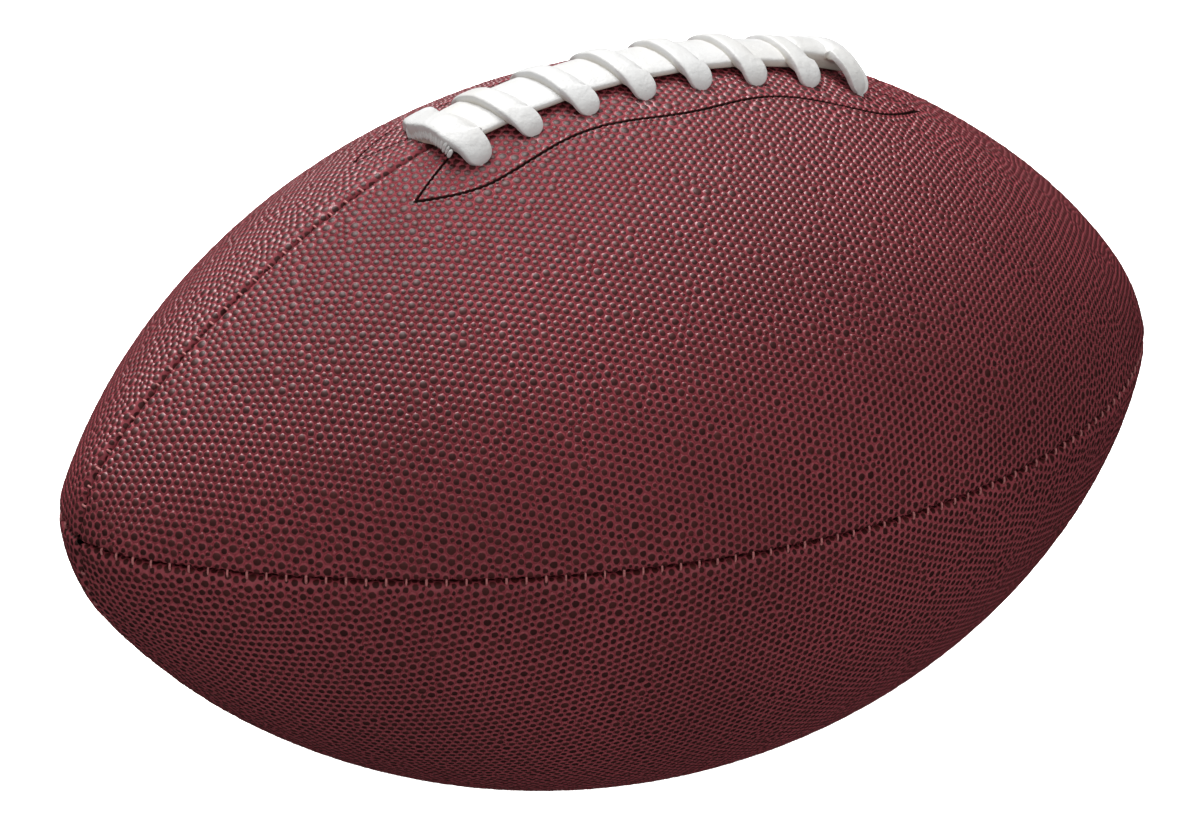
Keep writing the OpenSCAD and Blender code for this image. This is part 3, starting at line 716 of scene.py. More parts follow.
def flattened(ball, points):
    """Points of arc length and turn on the flat pattern."""
    return np.stack([ball.flat(points[:, 0]), points[:, 1]], axis=1)


# Points of the flat pattern that lie closer than this are one
ONE_POINT = 1e-7


def triangles(ball, points, loops):
    """Triangles of the points inside the first loop and outside the others, by index."""
    flat = flattened(ball, points)
    edges, first = [], 0
    for count in loops:
        edges += [(first + i, first + (i + 1) % count) for i in range(count)]
        first += count
    found = delaunay_2d_cdt([Vector(p) for p in flat], edges, [], 0, ONE_POINT, True)
    origin = [ids[0] if ids else -1 for ids in found[3]]
    faces = np.array([[origin[i] for i in face] for face in found[2]])
    if faces.min() < 0:
        raise RuntimeError("a border crosses itself")
    borders = [flat[sum(loops[:i]):sum(loops[:i + 1])] for i in range(len(loops))]
    return faces[within(flat[faces].mean(axis=1), borders)]


def settled(ball, points, loops, times):
    """Evens out the inner points of a sheet."""
    fixed = sum(loops)
    for _ in range(times):
        faces = triangles(ball, points, loops)
        flat = flattened(ball, points)
        total = np.zeros_like(flat)
        count = np.zeros(len(flat))
        for a, b in ((0, 1), (1, 2), (2, 0), (1, 0), (2, 1), (0, 2)):
            np.add.at(total, faces[:, a], flat[faces[:, b]])
            np.add.at(count, faces[:, a], 1)
        moved = total[fixed:] / np.maximum(count[fixed:], 1)[:, None]
        points = points.copy()
        points[fixed:, 0] = ball.arc_of_flat(moved[:, 0])
        points[fixed:, 1] = moved[:, 1]
    return points


def lattice(ball, kind, pitch, jitter, rng):
    """Staggered rows of points over a panel and its flanges, each shifted at random."""
    start, span, _ = ball.panels[kind]
    middle = start + span / 2
    rows = []
    row_pitch = pitch * math.sqrt(3) / 2
    count = int(2 * ball.arc_end / row_pitch)
    reach = ball.sizes.belly_r * span / 2 + 2 * ball.sizes.turn_in
    across = int(reach / pitch)
    for i in range(count + 1):
        arc = -ball.arc_end + (i + 0.5) * row_pitch
        t = (np.arange(-across, across + 1) + (i % 2) / 2) * pitch
        rows.append(np.stack([np.full(len(t), arc), t], axis=1))
    points = np.concatenate(rows)
    points += rng.uniform(-jitter, jitter, points.shape) * pitch
    points = points[np.abs(points[:, 0]) < ball.arc_end]
    points[:, 1] = middle + points[:, 1] / ball.around(points[:, 0])
    return points


def inside_loops(ball, points, borders, clear):
    """The points inside the first border and outside the others, clear of all of them."""
    flat = flattened(ball, points)
    corners = [flattened(ball, border) for border in borders]
    kept = within(flat, corners)
    nearest = np.full(len(points), np.inf)
    for corner in np.concatenate(corners):
        nearest = np.minimum(nearest, ((flat - corner) ** 2).sum(axis=1))
    return points[kept & (nearest > (clear / ball.around(points[:, 0])) ** 2)]


# Pitch of the inner skin's points and steps of its corners, how clear of a border they stay, and the
# angle of a sharp edge
INNER_PITCH, INNER_STEPS = 12 * MM, 91
INNER_CLEAR = 2.5 * MM
SHARP_ANGLE = math.radians(70)
# Shares of the pebbles' height that are left at cut edges, at the lace's feet and at the tips
CUT_SHARE, FOOT_SHARE, TIP_SHARE = 0.6, 0.6, 0.3
# Where round a rolled edge the pebbles start to fade, and over which way, as shares of its radius
FADE_SHARES = 0.5, 0.9
# Distances from a foot's middle between which the pebbles grow to their full height
FOOT_CALM = 2.7 * MM, 4.0 * MM


def sheet_relief(ball, kind, points, borders):
    """Share of the full pebble height: none down the flanges, less at cut edges and round the lace's feet."""
    around = ball.around(points[:, 0])
    low, high, _ = ball.rolls(kind, points[:, 0])
    way = np.maximum(low - points[:, 1], points[:, 1] - high) * around
    roll = ball.sizes.seam_edge_r * ball.skive(ball.normal_at(points[:, 0]))
    relief = 1 - np.clip((way / roll - FADE_SHARES[0]) / FADE_SHARES[1], 0, 1)
    relief[: sum(len(b) for b in borders)] *= CUT_SHARE
    if kind == "lace":
        x, r = ball.profile(ball.normal_at(points[:, 0]), 0.0)
        for foot_x in ball.feet:
            apart = np.hypot(x - foot_x, r * np.sin(points[:, 1]) - ball.foot_y)
            relief *= FOOT_SHARE + (1 - FOOT_SHARE) * smoothstep(*FOOT_CALM, apart)
    return relief * np.clip(around / ball.sizes.skive_r / 2, TIP_SHARE, 1)


def fine_skin(ball, kind):
    """Points and faces of a panel's plain skin with its rolled edges, on which the valleys are laid."""
    arcs = np.linspace(-ball.arc_end, ball.arc_end, SKIN_STEPS)
    low, high, whole = ball.rolls(kind, arcs)
    flange = whole / ball.around(arcs)
    edge_shares = np.linspace(1, 0, FLANGE_STEPS)[:-1]
    columns = [low - flange * share for share in edge_shares]
    columns += [low + (high - low) * share for share in np.linspace(0, 1, PANEL_STEPS)]
    columns += [high + flange * share for share in edge_shares[::-1]]
    points = np.concatenate([ball.sheet(kind, arcs, column) for column in columns])
    return points, grid_faces(len(columns), len(arcs), False)


def kd_tree(points):
    """Tree that finds the nearest of some points."""
    tree = KDTree(len(points))
    for i, point in enumerate(points):
        tree.insert(point, i)
    tree.balance()
    return tree


def with_middles(loop):
    """Corners of a closed loop with the middle of each of its sides after them."""
    middles = (loop + np.roll(loop, -1, axis=0)) / 2
    return np.stack([loop, middles], axis=1).reshape(-1, loop.shape[1])


def inner_sheet(ball, kind, borders):
    """Points and faces of a panel's inner skin, as arc lengths and turns, with the borders' points first."""
    dense = [with_middles(border) for border in borders]
    spare = lattice(ball, kind, INNER_PITCH, 0.0, np.random.default_rng(1))
    low, high, _ = ball.rolls(kind, spare[:, 0])
    spare = spare[(spare[:, 1] > low) & (spare[:, 1] < high)]
    arcs = np.linspace(-ball.arc_end, ball.arc_end, INNER_STEPS)[1:-1]
    low, high, _ = ball.rolls(kind, arcs)
    corners = np.concatenate([np.stack([arcs, low], 1), np.stack([arcs, high], 1)])
    corners = inside_loops(ball, corners, borders, INNER_CLEAR / 2)
    spare = inside_loops(ball, spare, borders, INNER_CLEAR)
    tree = kd_tree([Vector((*point, 0)) for point in flattened(ball, corners)])
    gaps = np.array([tree.find(Vector((*point, 0)))[2] for point in flattened(ball, spare)])
    apart = gaps * ball.around(spare[:, 0]) > INNER_CLEAR
    points = np.concatenate(dense + [corners, spare[apart]])
    return points, triangles(ball, points, [len(loop) for loop in dense])


def closed_sheet(ball, kind, piece, borders, back):
    """Adds the inner skin and the edges to a pebbled sheet, so that the piece is a closed shell."""
    points, faces = inner_sheet(ball, kind, borders)
    work = bmesh.new()
    work.from_mesh(piece.data)
    rim = [vert for vert in work.verts if vert.is_boundary]
    tree = kd_tree([vert.co for vert in rim])
    made = [work.verts.new(p) for p in ball.placed(ball.inner_sheet(kind, points[:, 0], points[:, 1]), back)]
    first = 0
    for border in borders:
        outer = with_middles(ball.placed(ball.sheet(kind, border[:, 0], border[:, 1]), back))
        matched = [rim[tree.find(Vector(p))[1]] for p in outer]
        if len(set(matched)) != len(outer):
            raise RuntimeError(f"the rim of {piece.name} doesn't match its border")
        for i in range(len(outer)):
            j = (i + 1) % len(outer)
            work.faces.new((matched[i], matched[j], made[first + j], made[first + i]))
        first += len(outer)
    for face in faces:
        work.faces.new([made[i] for i in face])
    for face in work.faces:
        face.smooth = True
    bmesh.ops.recalc_face_normals(work, faces=work.faces)
    mesh = bpy.data.meshes.new(piece.name)
    work.to_mesh(mesh)
    work.free()
    mesh.set_sharp_from_angle(angle=SHARP_ANGLE)
    piece.data = mesh


# Distance between a border's points, and how clear of them the pebbles stay, as shares of the pitch
BORDER_SHARE, CLEAR_SHARE = 0.85, 0.6


def pebbled_piece(ball, kind, back, name, borders, step):
    """A closed shell with pebbles over its outer skin."""
    grain, material = bpy.context.scene.football_grain, material_of("pebbled_leather")
    seed = grain.seed + step
    spread = lattice(ball, kind, grain.pitch, grain.jitter, np.random.default_rng(seed))
    points = np.concatenate(borders + [inside_loops(ball, spread, borders, CLEAR_SHARE * grain.pitch)])
    loops = [len(b) for b in borders]
    points = settled(ball, points, loops, grain.settle)
    faces = triangles(ball, points, loops)
    if not back:
        faces = faces[:, ::-1]
    place = ball.placed(ball.sheet(kind, points[:, 0], points[:, 1]), back)
    piece = new_object(name, plain_mesh(name, place, faces))
    relief = piece.data.attributes.new("relief", "FLOAT", "POINT")
    relief.data.foreach_set("value", sheet_relief(ball, kind, points, borders).astype(np.float32))
    skin_points, skin_faces = fine_skin(ball, kind)
    skin = new_object(name + "_skin", plain_mesh(name, ball.placed(skin_points, back), skin_faces))
    apply_tree(piece, bpy.data.node_groups.get("pebble_grain") or pebble_tree(), {
        "Surface": skin, "Height": grain.height, "Sink": grain.sink, "Ring Share": grain.ring_share,
        "Ring Height": grain.ring_height, "Roundness": grain.roundness, "Seed": seed, "Material": material})
    bpy.data.objects.remove(skin)
    closed_sheet(ball, kind, piece, borders, back)
    return piece


def variation_group():
    """Shader group: slow and fine unevenness of a surface."""
    _, w, given, results = new_group(
        "ShaderNodeTree", VARIATION, [("Broad Scale", FLOAT, 20.0), ("Fine Scale", FLOAT, 900.0)],
        [("Broad", FLOAT), ("Fine", FLOAT)])
    place = w.made("ShaderNodeTexCoord", output="Object")
    for name, detail in (("Broad", 3.0), ("Fine", 4.0)):
        noise = {"Vector": place, "Scale": given[f"{name} Scale"], "Detail": detail}
        w.put(results[name], w.made("ShaderNodeTexNoise", noise, "Fac"))


class Finish(Wiring):
    """Wiring of a new material, with its shader and the slow and fine unevenness of its surface."""

    def __init__(self, name, broad_scale=0.0, fine_scale=0.0):
        self.material = bpy.data.materials.new(name)
        self.material.use_nodes = True
        super().__init__(self.material.node_tree)
        self.tree.nodes.clear()
        self.shader = self.add("ShaderNodeBsdfPrincipled")
        self.add("ShaderNodeOutputMaterial", {"Surface": self.shader.outputs[0]})
        if broad_scale:
            uneven = self.add("ShaderNodeGroup", {"Broad Scale": broad_scale, "Fine Scale": fine_scale},
                              node_tree=bpy.data.node_groups[VARIATION]).outputs
            self.broad, self.fine = uneven["Broad"], uneven["Fine"]

    def place(self):
        """Place on the object."""
        return self.made("ShaderNodeTexCoord", output="Object")

    def mark(self, name, output="Fac"):
        """Value stored on the mesh."""
        return self.made("ShaderNodeAttribute", output=output, attribute_name=name)

    def surface(self, colour, rough, height, strength, depth):
        """The material, with its colour, roughness and bump linked to the shader."""
        self.put(self.shader.inputs["Base Color"], colour)
        self.put(self.shader.inputs["Roughness"], rough)
        bump = {"Height": height, "Strength": strength, "Distance": depth}
        self.put(self.shader.inputs["Normal"], self.made("ShaderNodeBump", bump))
        return self.material


# How far a cap's edge wanders, how much its share varies from cell to cell, and half its soft edge
CAP_WOBBLE, CAP_SPREAD, CAP_SOFTNESS = 0.45 * MM, 0.08, 0.09
# Cells of a smaller radius belong to the inner skin and the edges
LEAST_CELL = 0.1 * MM


def leather_material(grain):
    """Pebbled cover: wine red valleys and dark brown caps with soft edges."""
    w = Finish("pebbled_leather", broad_scale=14.0, fine_scale=1400.0)
    place, radius, tone = w.place(), w.mark("cell_radius"), w.mark("cell_tone")
    wobble = w.made("ShaderNodeTexNoise", {"Vector": place, "Scale": 1100.0, "Detail": 2.0}, "Color")
    shift = w.scaled(w.vector("SUBTRACT", wobble, (0.5, 0.5, 0.5)), CAP_WOBBLE)
    distance = w.vector("DISTANCE", w.vector("ADD", place, shift), w.mark("cell_centre", "Vector"))
    share_out = w.math("DIVIDE", distance, w.math("MAXIMUM", radius, LEAST_CELL))
    edge = w.math("ADD", w.math("MULTIPLY", tone, CAP_SPREAD), grain.cap_share - CAP_SPREAD / 2)
    low, high = (w.math(operation, edge, CAP_SOFTNESS) for operation in ("SUBTRACT", "ADD"))
    cap = w.ramp(share_out, low, high, 1.0, 0.0)
    valley = w.mix(w.ramp(w.broad, 0.3, 0.7), rgba(grain.valley, 0.9), rgba(grain.valley, 1.12))
    brown = w.mix(tone, rgba(grain.cap, 0.75), rgba(grain.cap, 1.4))
    sewn_edge = w.ramp(radius, 0.0, LEAST_CELL, 1.0, 0.0)
    colour = w.mix(sewn_edge, w.mix(cap, valley, brown), rgba(grain.edge))
    rough = w.math("ADD", w.math("MULTIPLY", w.fine, 0.16), w.ramp(cap, 0.0, 1.0, 0.30, 0.46))
    w.shader.inputs["Specular IOR Level"].default_value = 0.7
    return w.surface(colour, rough, w.fine, strength=0.25, depth=0.15 * MM)


def lace_material(lace):
    """Moulded lace: soft white, with painted shade in a warm tint where the attribute marks crevices and
    undersides.
    """
    w = Finish("moulded_lace", broad_scale=60.0, fine_scale=1600.0)
    # Painted shade from the mesh's marks, plus a little of its tint at random from slow noise
    shade = w.math("MULTIPLY", w.ramp(w.broad, 0.35, 0.75), 0.18)
    amount = w.math("MINIMUM", w.math("ADD", w.mark("crevice"), shade), 1.0)
    ripple = w.made("ShaderNodeTexNoise", {"Vector": w.place(), "Scale": 330.0, "Detail": 3.0}, "Fac")
    return w.surface(w.mix(amount, rgba(lace.white), rgba(lace.shade_cream)), w.ramp(w.fine, 0.2, 0.8, 0.42, 0.6),
                     w.math("ADD", w.math("MULTIPLY", ripple, 4.0), w.fine), strength=0.5, depth=0.2 * MM)


def thread_material(stitch):
    """Twisted sewing thread."""
    w = Finish("sewing_thread", broad_scale=120.0, fine_scale=2500.0)
    colour = w.mix(w.ramp(w.fine, 0.3, 0.7), rgba(stitch.thread, 0.6), rgba(stitch.thread))
    rough = w.ramp(w.broad, 0.2, 0.8, 0.5, 0.7)
    return w.surface(colour, rough, w.fine, strength=0.5, depth=0.1 * MM)


def cloth_material(name, base, weave_scale):
    """Woven or laminated cloth of the inner pieces."""
    w = Finish(name, broad_scale=40.0, fine_scale=weave_scale)
    weave = w.made("ShaderNodeTexChecker", {"Vector": w.place(), "Scale": weave_scale}, "Fac")
    thread = w.math("MULTIPLY", weave, w.fine)
    return w.surface(w.mix(thread, rgba(base), rgba(base, 0.75)), w.ramp(w.broad, 0.2, 0.8, 0.7, 0.9),
                     thread, strength=0.4, depth=0.2 * MM)


def rubber_material(name, base):
    """Dull moulded rubber."""
    w = Finish(name, broad_scale=90.0, fine_scale=1800.0)
    return w.surface(w.mix(w.ramp(w.broad, 0.3, 0.7), rgba(base), rgba(base, 1.5)),
                     w.ramp(w.fine, 0.2, 0.8, 0.45, 0.65), w.fine, strength=0.3, depth=0.1 * MM)


def material_of(name):
    """A material that the materials operator has made."""
    found = bpy.data.materials.get(name)
    if not found:
        raise RuntimeError(f"the material {name} isn't made yet")
    return found


class FOOTBALL_OT_materials(bpy.types.Operator):
    """Makes the materials and gives the inner CAD pieces theirs."""
    bl_idname = "football.materials"
    bl_label = "Materials"

    def execute(self, context):
        variation_group()
        leather_material(context.scene.football_grain)
        lace_material(context.scene.football_lace)
        inner = {
            "lining": cloth_material("lining_cloth", (0.56, 0.50, 0.38), 900.0),
            "backing": cloth_material("backing_felt", (0.45, 0.40, 0.31), 1400.0),
            "tongue": cloth_material("tongue_cloth", (0.48, 0.42, 0.33), 700.0),
            "bladder": rubber_material("bladder_rubber", (0.012, 0.010, 0.010)),
            "body": rubber_material("valve_rubber", (0.008, 0.008, 0.008)),
            "plug": rubber_material("plug_rubber", (0.014, 0.014, 0.014)),
            "thread": thread_material(context.scene.football_stitch),
        }
        for name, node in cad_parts.items():
            ending = name.split("_")[-1]
            if ending in inner:
                paint(node, inner[ending])
        return {"FINISHED"}


class FOOTBALL_OT_cover(bpy.types.Operator):
    """Makes the four pebbled cover panels with their rolled and turned-in edges."""
    bl_idname = "football.cover"
    bl_label = "Cover panels"

    def execute(self, context):
        ball = Ball(context.scene.football_ball)
        spacing = context.scene.football_grain.pitch * BORDER_SHARE
        for number, (kind, side) in enumerate((k, s) for k in ("lace", "bottom") for s in SIDES):
            back = side == "back"
            borders = [panel_border(ball, kind, spacing, kind == "lace")]
            if kind == "bottom" and back:
                borders.append(hole_border(ball, spacing))
            piece = pebbled_piece(ball, kind, back, f"{side}_{kind}_cover", borders, number)
            dress(piece, material_of("pebbled_leather"), "cover", f"{side}_{kind}_panel")
        return {"FINISHED"}


# Step of the front insert's random seed
INSERT_STEP = 10


class FOOTBALL_OT_inserts(bpy.types.Operator):
    """Makes the two pebbled lace inserts."""
    bl_idname = "football.inserts"
    bl_label = "Lace inserts"

    def execute(self, context):
        ball = Ball(context.scene.football_ball)
        borders = [insert_border(ball, context.scene.football_grain.pitch * BORDER_SHARE)]
        for number, side in enumerate(SIDES):
            name = f"{side}_insert_skin"
            piece = pebbled_piece(ball, "lace", side == "back", name, borders, INSERT_STEP + number)
            dress(piece, material_of("pebbled_leather"), "insert", f"{side}_lace_insert")
        return {"FINISHED"}


# Least and largest random scale of a stitch and of a flute, and the seed of the flutes' scales
STITCH_SCALES = (0.85, 0.85, 0.9), (1.2, 1.15, 1.1)
FLUTE_SCALES = (0.75, 0.8, 0.85), (1.1, 1.15, 1.1)
FLUTE_SEED = 4


def stitch_tree():
    """Tree that sets a short thread across a seam at every stitch pitch."""
    tree, w, given, results = shape_tree("seam_stitches", [
        ("Stitch", OBJECT, None), ("Pitch", FLOAT, 0.0043), ("Axis Height", FLOAT, 0.08)])
    curve = w.made("GeometryNodeMeshToCurve", {"Mesh": given["Geometry"]})
    spaced = w.made("GeometryNodeResampleCurve", {"Curve": curve, "Length": given["Pitch"]}, mode="LENGTH")
    from_axis = w.vector("SUBTRACT", w.made("GeometryNodeInputPosition"),
                         w.made("ShaderNodeCombineXYZ", {"Z": given["Axis Height"]}))
    outwards = w.vector("MULTIPLY", from_axis, (0.0, 1.0, 1.0))
    points = strung(w, spaced, given["Stitch"], given["Seed"], "XZ", outwards, STITCH_SCALES)
    end_tree(w, points, given["Material"], results)
    return tree


# Sides and rings of a stitch and of a flute, and steps along the line of a seam
STITCH_MESH, FLUTE_MESH, LINE_STEPS = (6, 6), (8, 7), 200
# Dip of a stitch's ends in radii of its thread, and the square of a flute's girth at its ends
DIP_SHARE, FLUTE_END = 1.6, 0.04


def stitch_shape(stitch):
    """One stitch: a thread across the seam's line that dips at both its ends."""
    sides, rings = STITCH_MESH
    wide, tall = stitch.thread_r * np.cos(even_turns(sides)), stitch.thread_r * np.sin(even_turns(sides))
    dip = stitch.thread_r * DIP_SHARE
    made = []
    for across in np.linspace(-1, 1, rings):
        slope = math.atan2(-3 * across * abs(across) * dip, stitch.reach)
        made.append(np.stack([wide, across * stitch.reach - tall * math.sin(slope),
                              tall * math.cos(slope) - abs(across) ** 3 * dip], axis=1))
    return swept("stitch", made)


def seam_line(ball, kind, side, depth, low_arc, high_arc):
    """Points along the middle of a seam at a depth below its cover."""
    arcs = np.linspace(low_arc, high_arc, LINE_STEPS)
    start, span, _ = ball.panels[kind]
    turns = np.full(len(arcs), start + (span if side > 0 else 0.0))
    return ball.point(kind, ball.normal_at(arcs), turns, depth)


class FOOTBALL_OT_stitches(bpy.types.Operator):
    """Sews the four seams with short stitches across them."""
    bl_idname = "football.stitches"
    bl_label = "Seam stitches"

    def execute(self, context):
        ball, stitch = Ball(context.scene.football_ball), context.scene.football_stitch
        tree, thread = stitch_tree(), material_of("sewing_thread")
        shape = new_object("stitch", stitch_shape(stitch))
        end = ball.arc_end - stitch.end_gap
        sewn = float(ball.arc_at(stitch.sewn_x))
        whole, beside_lace = [(-end, end)], [(-end, -sewn), (sewn, end)]
        seams = {"front_seam": ("lace", 1, False, whole), "back_seam": ("lace", 1, True, whole),
                 "bottom_seam": ("bottom", 1, False, whole), "lace_seam": ("lace", -1, False, beside_lace)}
        for number, (seam, (kind, side, back, spans)) in enumerate(seams.items()):
            piece = line_object(f"{seam}_stitches", [
                ball.placed(seam_line(ball, kind, side, stitch.depth, *span), back) for span in spans])
            apply_tree(piece, tree, {"Stitch": shape, "Pitch": stitch.pitch, "Axis Height": ball.lift,
                                     "Seed": number, "Material": thread})
            piece.data.shade_smooth()
            dress(piece, thread, "thread")
        bpy.data.objects.remove(shape)
        return {"FINISHED"}


class Lacing:
    """Places and sections of the lace, on the arc that the flat run follows over the lacing bed."""

    def __init__(self, ball, lace):
        self.ball, self.lace = ball, lace
        self.reach = (lace.count - 1) * lace.pitch / 2
        self.top = self.ridge(0.0)
        drop = self.top - self.ridge(self.reach)
        self.arc_r = (self.reach ** 2 + drop ** 2) / (2 * drop)
        self.crown_r = ((lace.run_w / 2) ** 2 + lace.run_crown ** 2) / (2 * lace.run_crown)
        self.crown_z = lace.clear + lace.run_t + lace.run_crown - self.crown_r
        top_r = self.crown_r + lace.clear
        self.bend_turn = math.asin((lace.leg_y - lace.bend_r) / (top_r - lace.bend_r))
        self.bend_z = self.crown_z + (top_r - lace.bend_r) * math.cos(self.bend_turn)
        self.top_r = top_r

    def ridge(self, x):
        """Height of the cover beside the lace seam over the long axis."""
        ball = self.ball
        normal = math.asin(x / ball.arc_r)
        turn = ball.edge_turn("lace", normal, 0.0, ball.gap + ball.sizes.seam_edge_r, -1)
        return float(ball.point("lace", normal, turn, 0.0)[2])

    def place(self, i):
        """Place of a crossbar along the lacing."""
        return self.ball.sizes.lacing_offset - self.reach + i * self.lace.pitch

    def on_ridge(self, x, points):
        """Points given beside the ridge's point at x, as local along, across and out, in the frame."""
        turn = x / self.arc_r
        points = np.asarray(points, dtype=float).reshape(-1, 3)
        out = points[:, 2] + self.arc_r
        along = points[:, 0]
        return np.stack([
            along * np.cos(turn) + out * np.sin(turn),
            points[:, 1],
            -along * np.sin(turn) + out * np.cos(turn) + self.top - self.arc_r + self.ball.lift], axis=1)

    def bar_path(self, count):
        """Inner line of a crossbar across the lacing: places, heights and outward directions."""
        lace = self.lace
        top_len = self.top_r * self.bend_turn
        bend = lace.leg_slope - self.bend_turn
        bend_len = lace.bend_r * bend
        knee_y = lace.leg_y - lace.bend_r + lace.bend_r * math.sin(lace.leg_slope)
        knee_z = self.bend_z + lace.bend_r * math.cos(lace.leg_slope)
        leg_len = (knee_z + lace.leg_depth) / math.sin(lace.leg_slope)
        whole = top_len + bend_len + leg_len
        path = []
        for way in np.linspace(-whole, whole, count):
            side, far = math.copysign(1, way), abs(way)
            if far <= top_len:
                turn = far / self.top_r
                y, z = self.top_r * math.sin(turn), self.crown_z + self.top_r * math.cos(turn)
            elif far <= top_len + bend_len:
                turn = self.bend_turn + (far - top_len) / lace.bend_r
                y = lace.leg_y - lace.bend_r + lace.bend_r * math.sin(turn)
                z = self.bend_z + lace.bend_r * math.cos(turn)
            else:
                turn, past = lace.leg_slope, far - top_len - bend_len
                y, z = knee_y + past * math.cos(turn), knee_z - past * math.sin(turn)
            path.append((side * y, z, side * turn))
        return path


# Points of a lace's ring, and the power of its rounded square
RING_POINTS, RING_POWER = 36, 4.5


def rounded_ring():
    """Unit ring of a rounded bar: places from -1 to 1, heights from 0 to 1, and its cosines and sines."""
    turns = even_turns(RING_POINTS)
    c, s = np.cos(turns), np.sin(turns)
    x = np.sign(c) * np.abs(c) ** (2 / RING_POWER)
    z = 0.5 + 0.5 * np.sign(s) * np.abs(s) ** (2 / RING_POWER)
    return x, z, c, s


# Fades of a crossbar: start and end in millimetres. The first four are measured from the run's edge,
# the next three across the lacing, and the last one is a height of the crossbar's inner face.
SPREAD_FADE = -1.0, 0.5
HANG_FADE = 0.7, 2.7
FOOT_FADE = -1.5, 3.5
UNDER_FADE = -1.4, 0.0
BACK_FADE = 1.0, 10.0
FIRST_BACK_FADE = -5.0, 9.0
SWAY_FADE = -15.0, -8.0
LIFT_FADE = -2.0, 2.2
# The run lifts off past its last crossbar but one. It gets narrower and higher on the way there, waves
# a little, gets narrower where it lifts, and its lower half is drawn in there.
RUN_LIFT_FADE = -1.0, 4.5
RUN_NARROW, RUN_RISE, RUN_WAVE = 0.8 * MM, 0.6 * MM, 0.02
LIFT_NARROW, LIFT_DRAWN = 1.6 * MM, 0.22
# How far the last crossbar's edge lies inside the run's, and the run's end past its middle
LAST_INSET, RUN_PAST = 2.4 * MM, 0.6 * MM
# Height at which a crossbar starts to taper, and how far down it does
TAPER_Z, END_TAPER_Z, TAPER_LEN = 1.4 * MM, 0.8 * MM, 4.0 * MM
TAPER_MOST, TAPER_POWER = 0.97, 2.6
# Thickening of the first crossbar over its front foot: share, place and reach
SWELL_SHARE, SWELL_Y, SWELL_REACH = 0.35, 10.5 * MM, 3.0 * MM
# How round a crossbar runs out on the run, where its run-out starts, and the last one's share of it
ROOT_POWER, ROOT_START, LAST_SPREAD = 0.8, 0.15, 0.8
# Steps along a crossbar and the run, and the start and fall of their painted shade, deepest in crevices and
# below
BAR_STEPS, RUN_STEPS = 131, 110
BAR_CREVICE, RUN_CREVICE = (0.45, 1.8), (1.3, 1.6)
# Shares by which the first and the last foot get narrower, and of the thickness that the taper spares
FIRST_NARROW, LAST_NARROW, SPARED = 0.2, 0.16, 0.35
# Depth of the grooves on the last foot, and how far the undersides reach below the inner face
GROOVE, UNDER, UNDER_MORE = 0.3 * MM, 0.7 * MM, 1.4 * MM
HANG, FIRST_HANG = 0.9 * MM, 0.6 * MM
# Sideways moves: of a foot, of the last one and of the last crossbar's back, and the skew's still point
FOOT_SHIFT, LAST_SHIFT, SWAY, STILL_Y = 0.9 * MM, 1.2 * MM, 3.0 * MM, 14.0 * MM
LAST_RISE = 0.8 * MM


def fade(limits, value):
    """Smooth step from 0 to 1 between two limits in millimetres."""
    return float(smoothstep(limits[0] * MM, limits[1] * MM, value))


def marked(mesh, crevices):
    """Stores on a lace mesh how much painted shade each of its points gets, more in crevices and on
    undersides.
    """
    mark = mesh.attributes.new("crevice", "FLOAT", "POINT")
    mark.data.foreach_set("value", np.clip(np.concatenate(crevices), 0, 1).astype(np.float32))
    return mesh


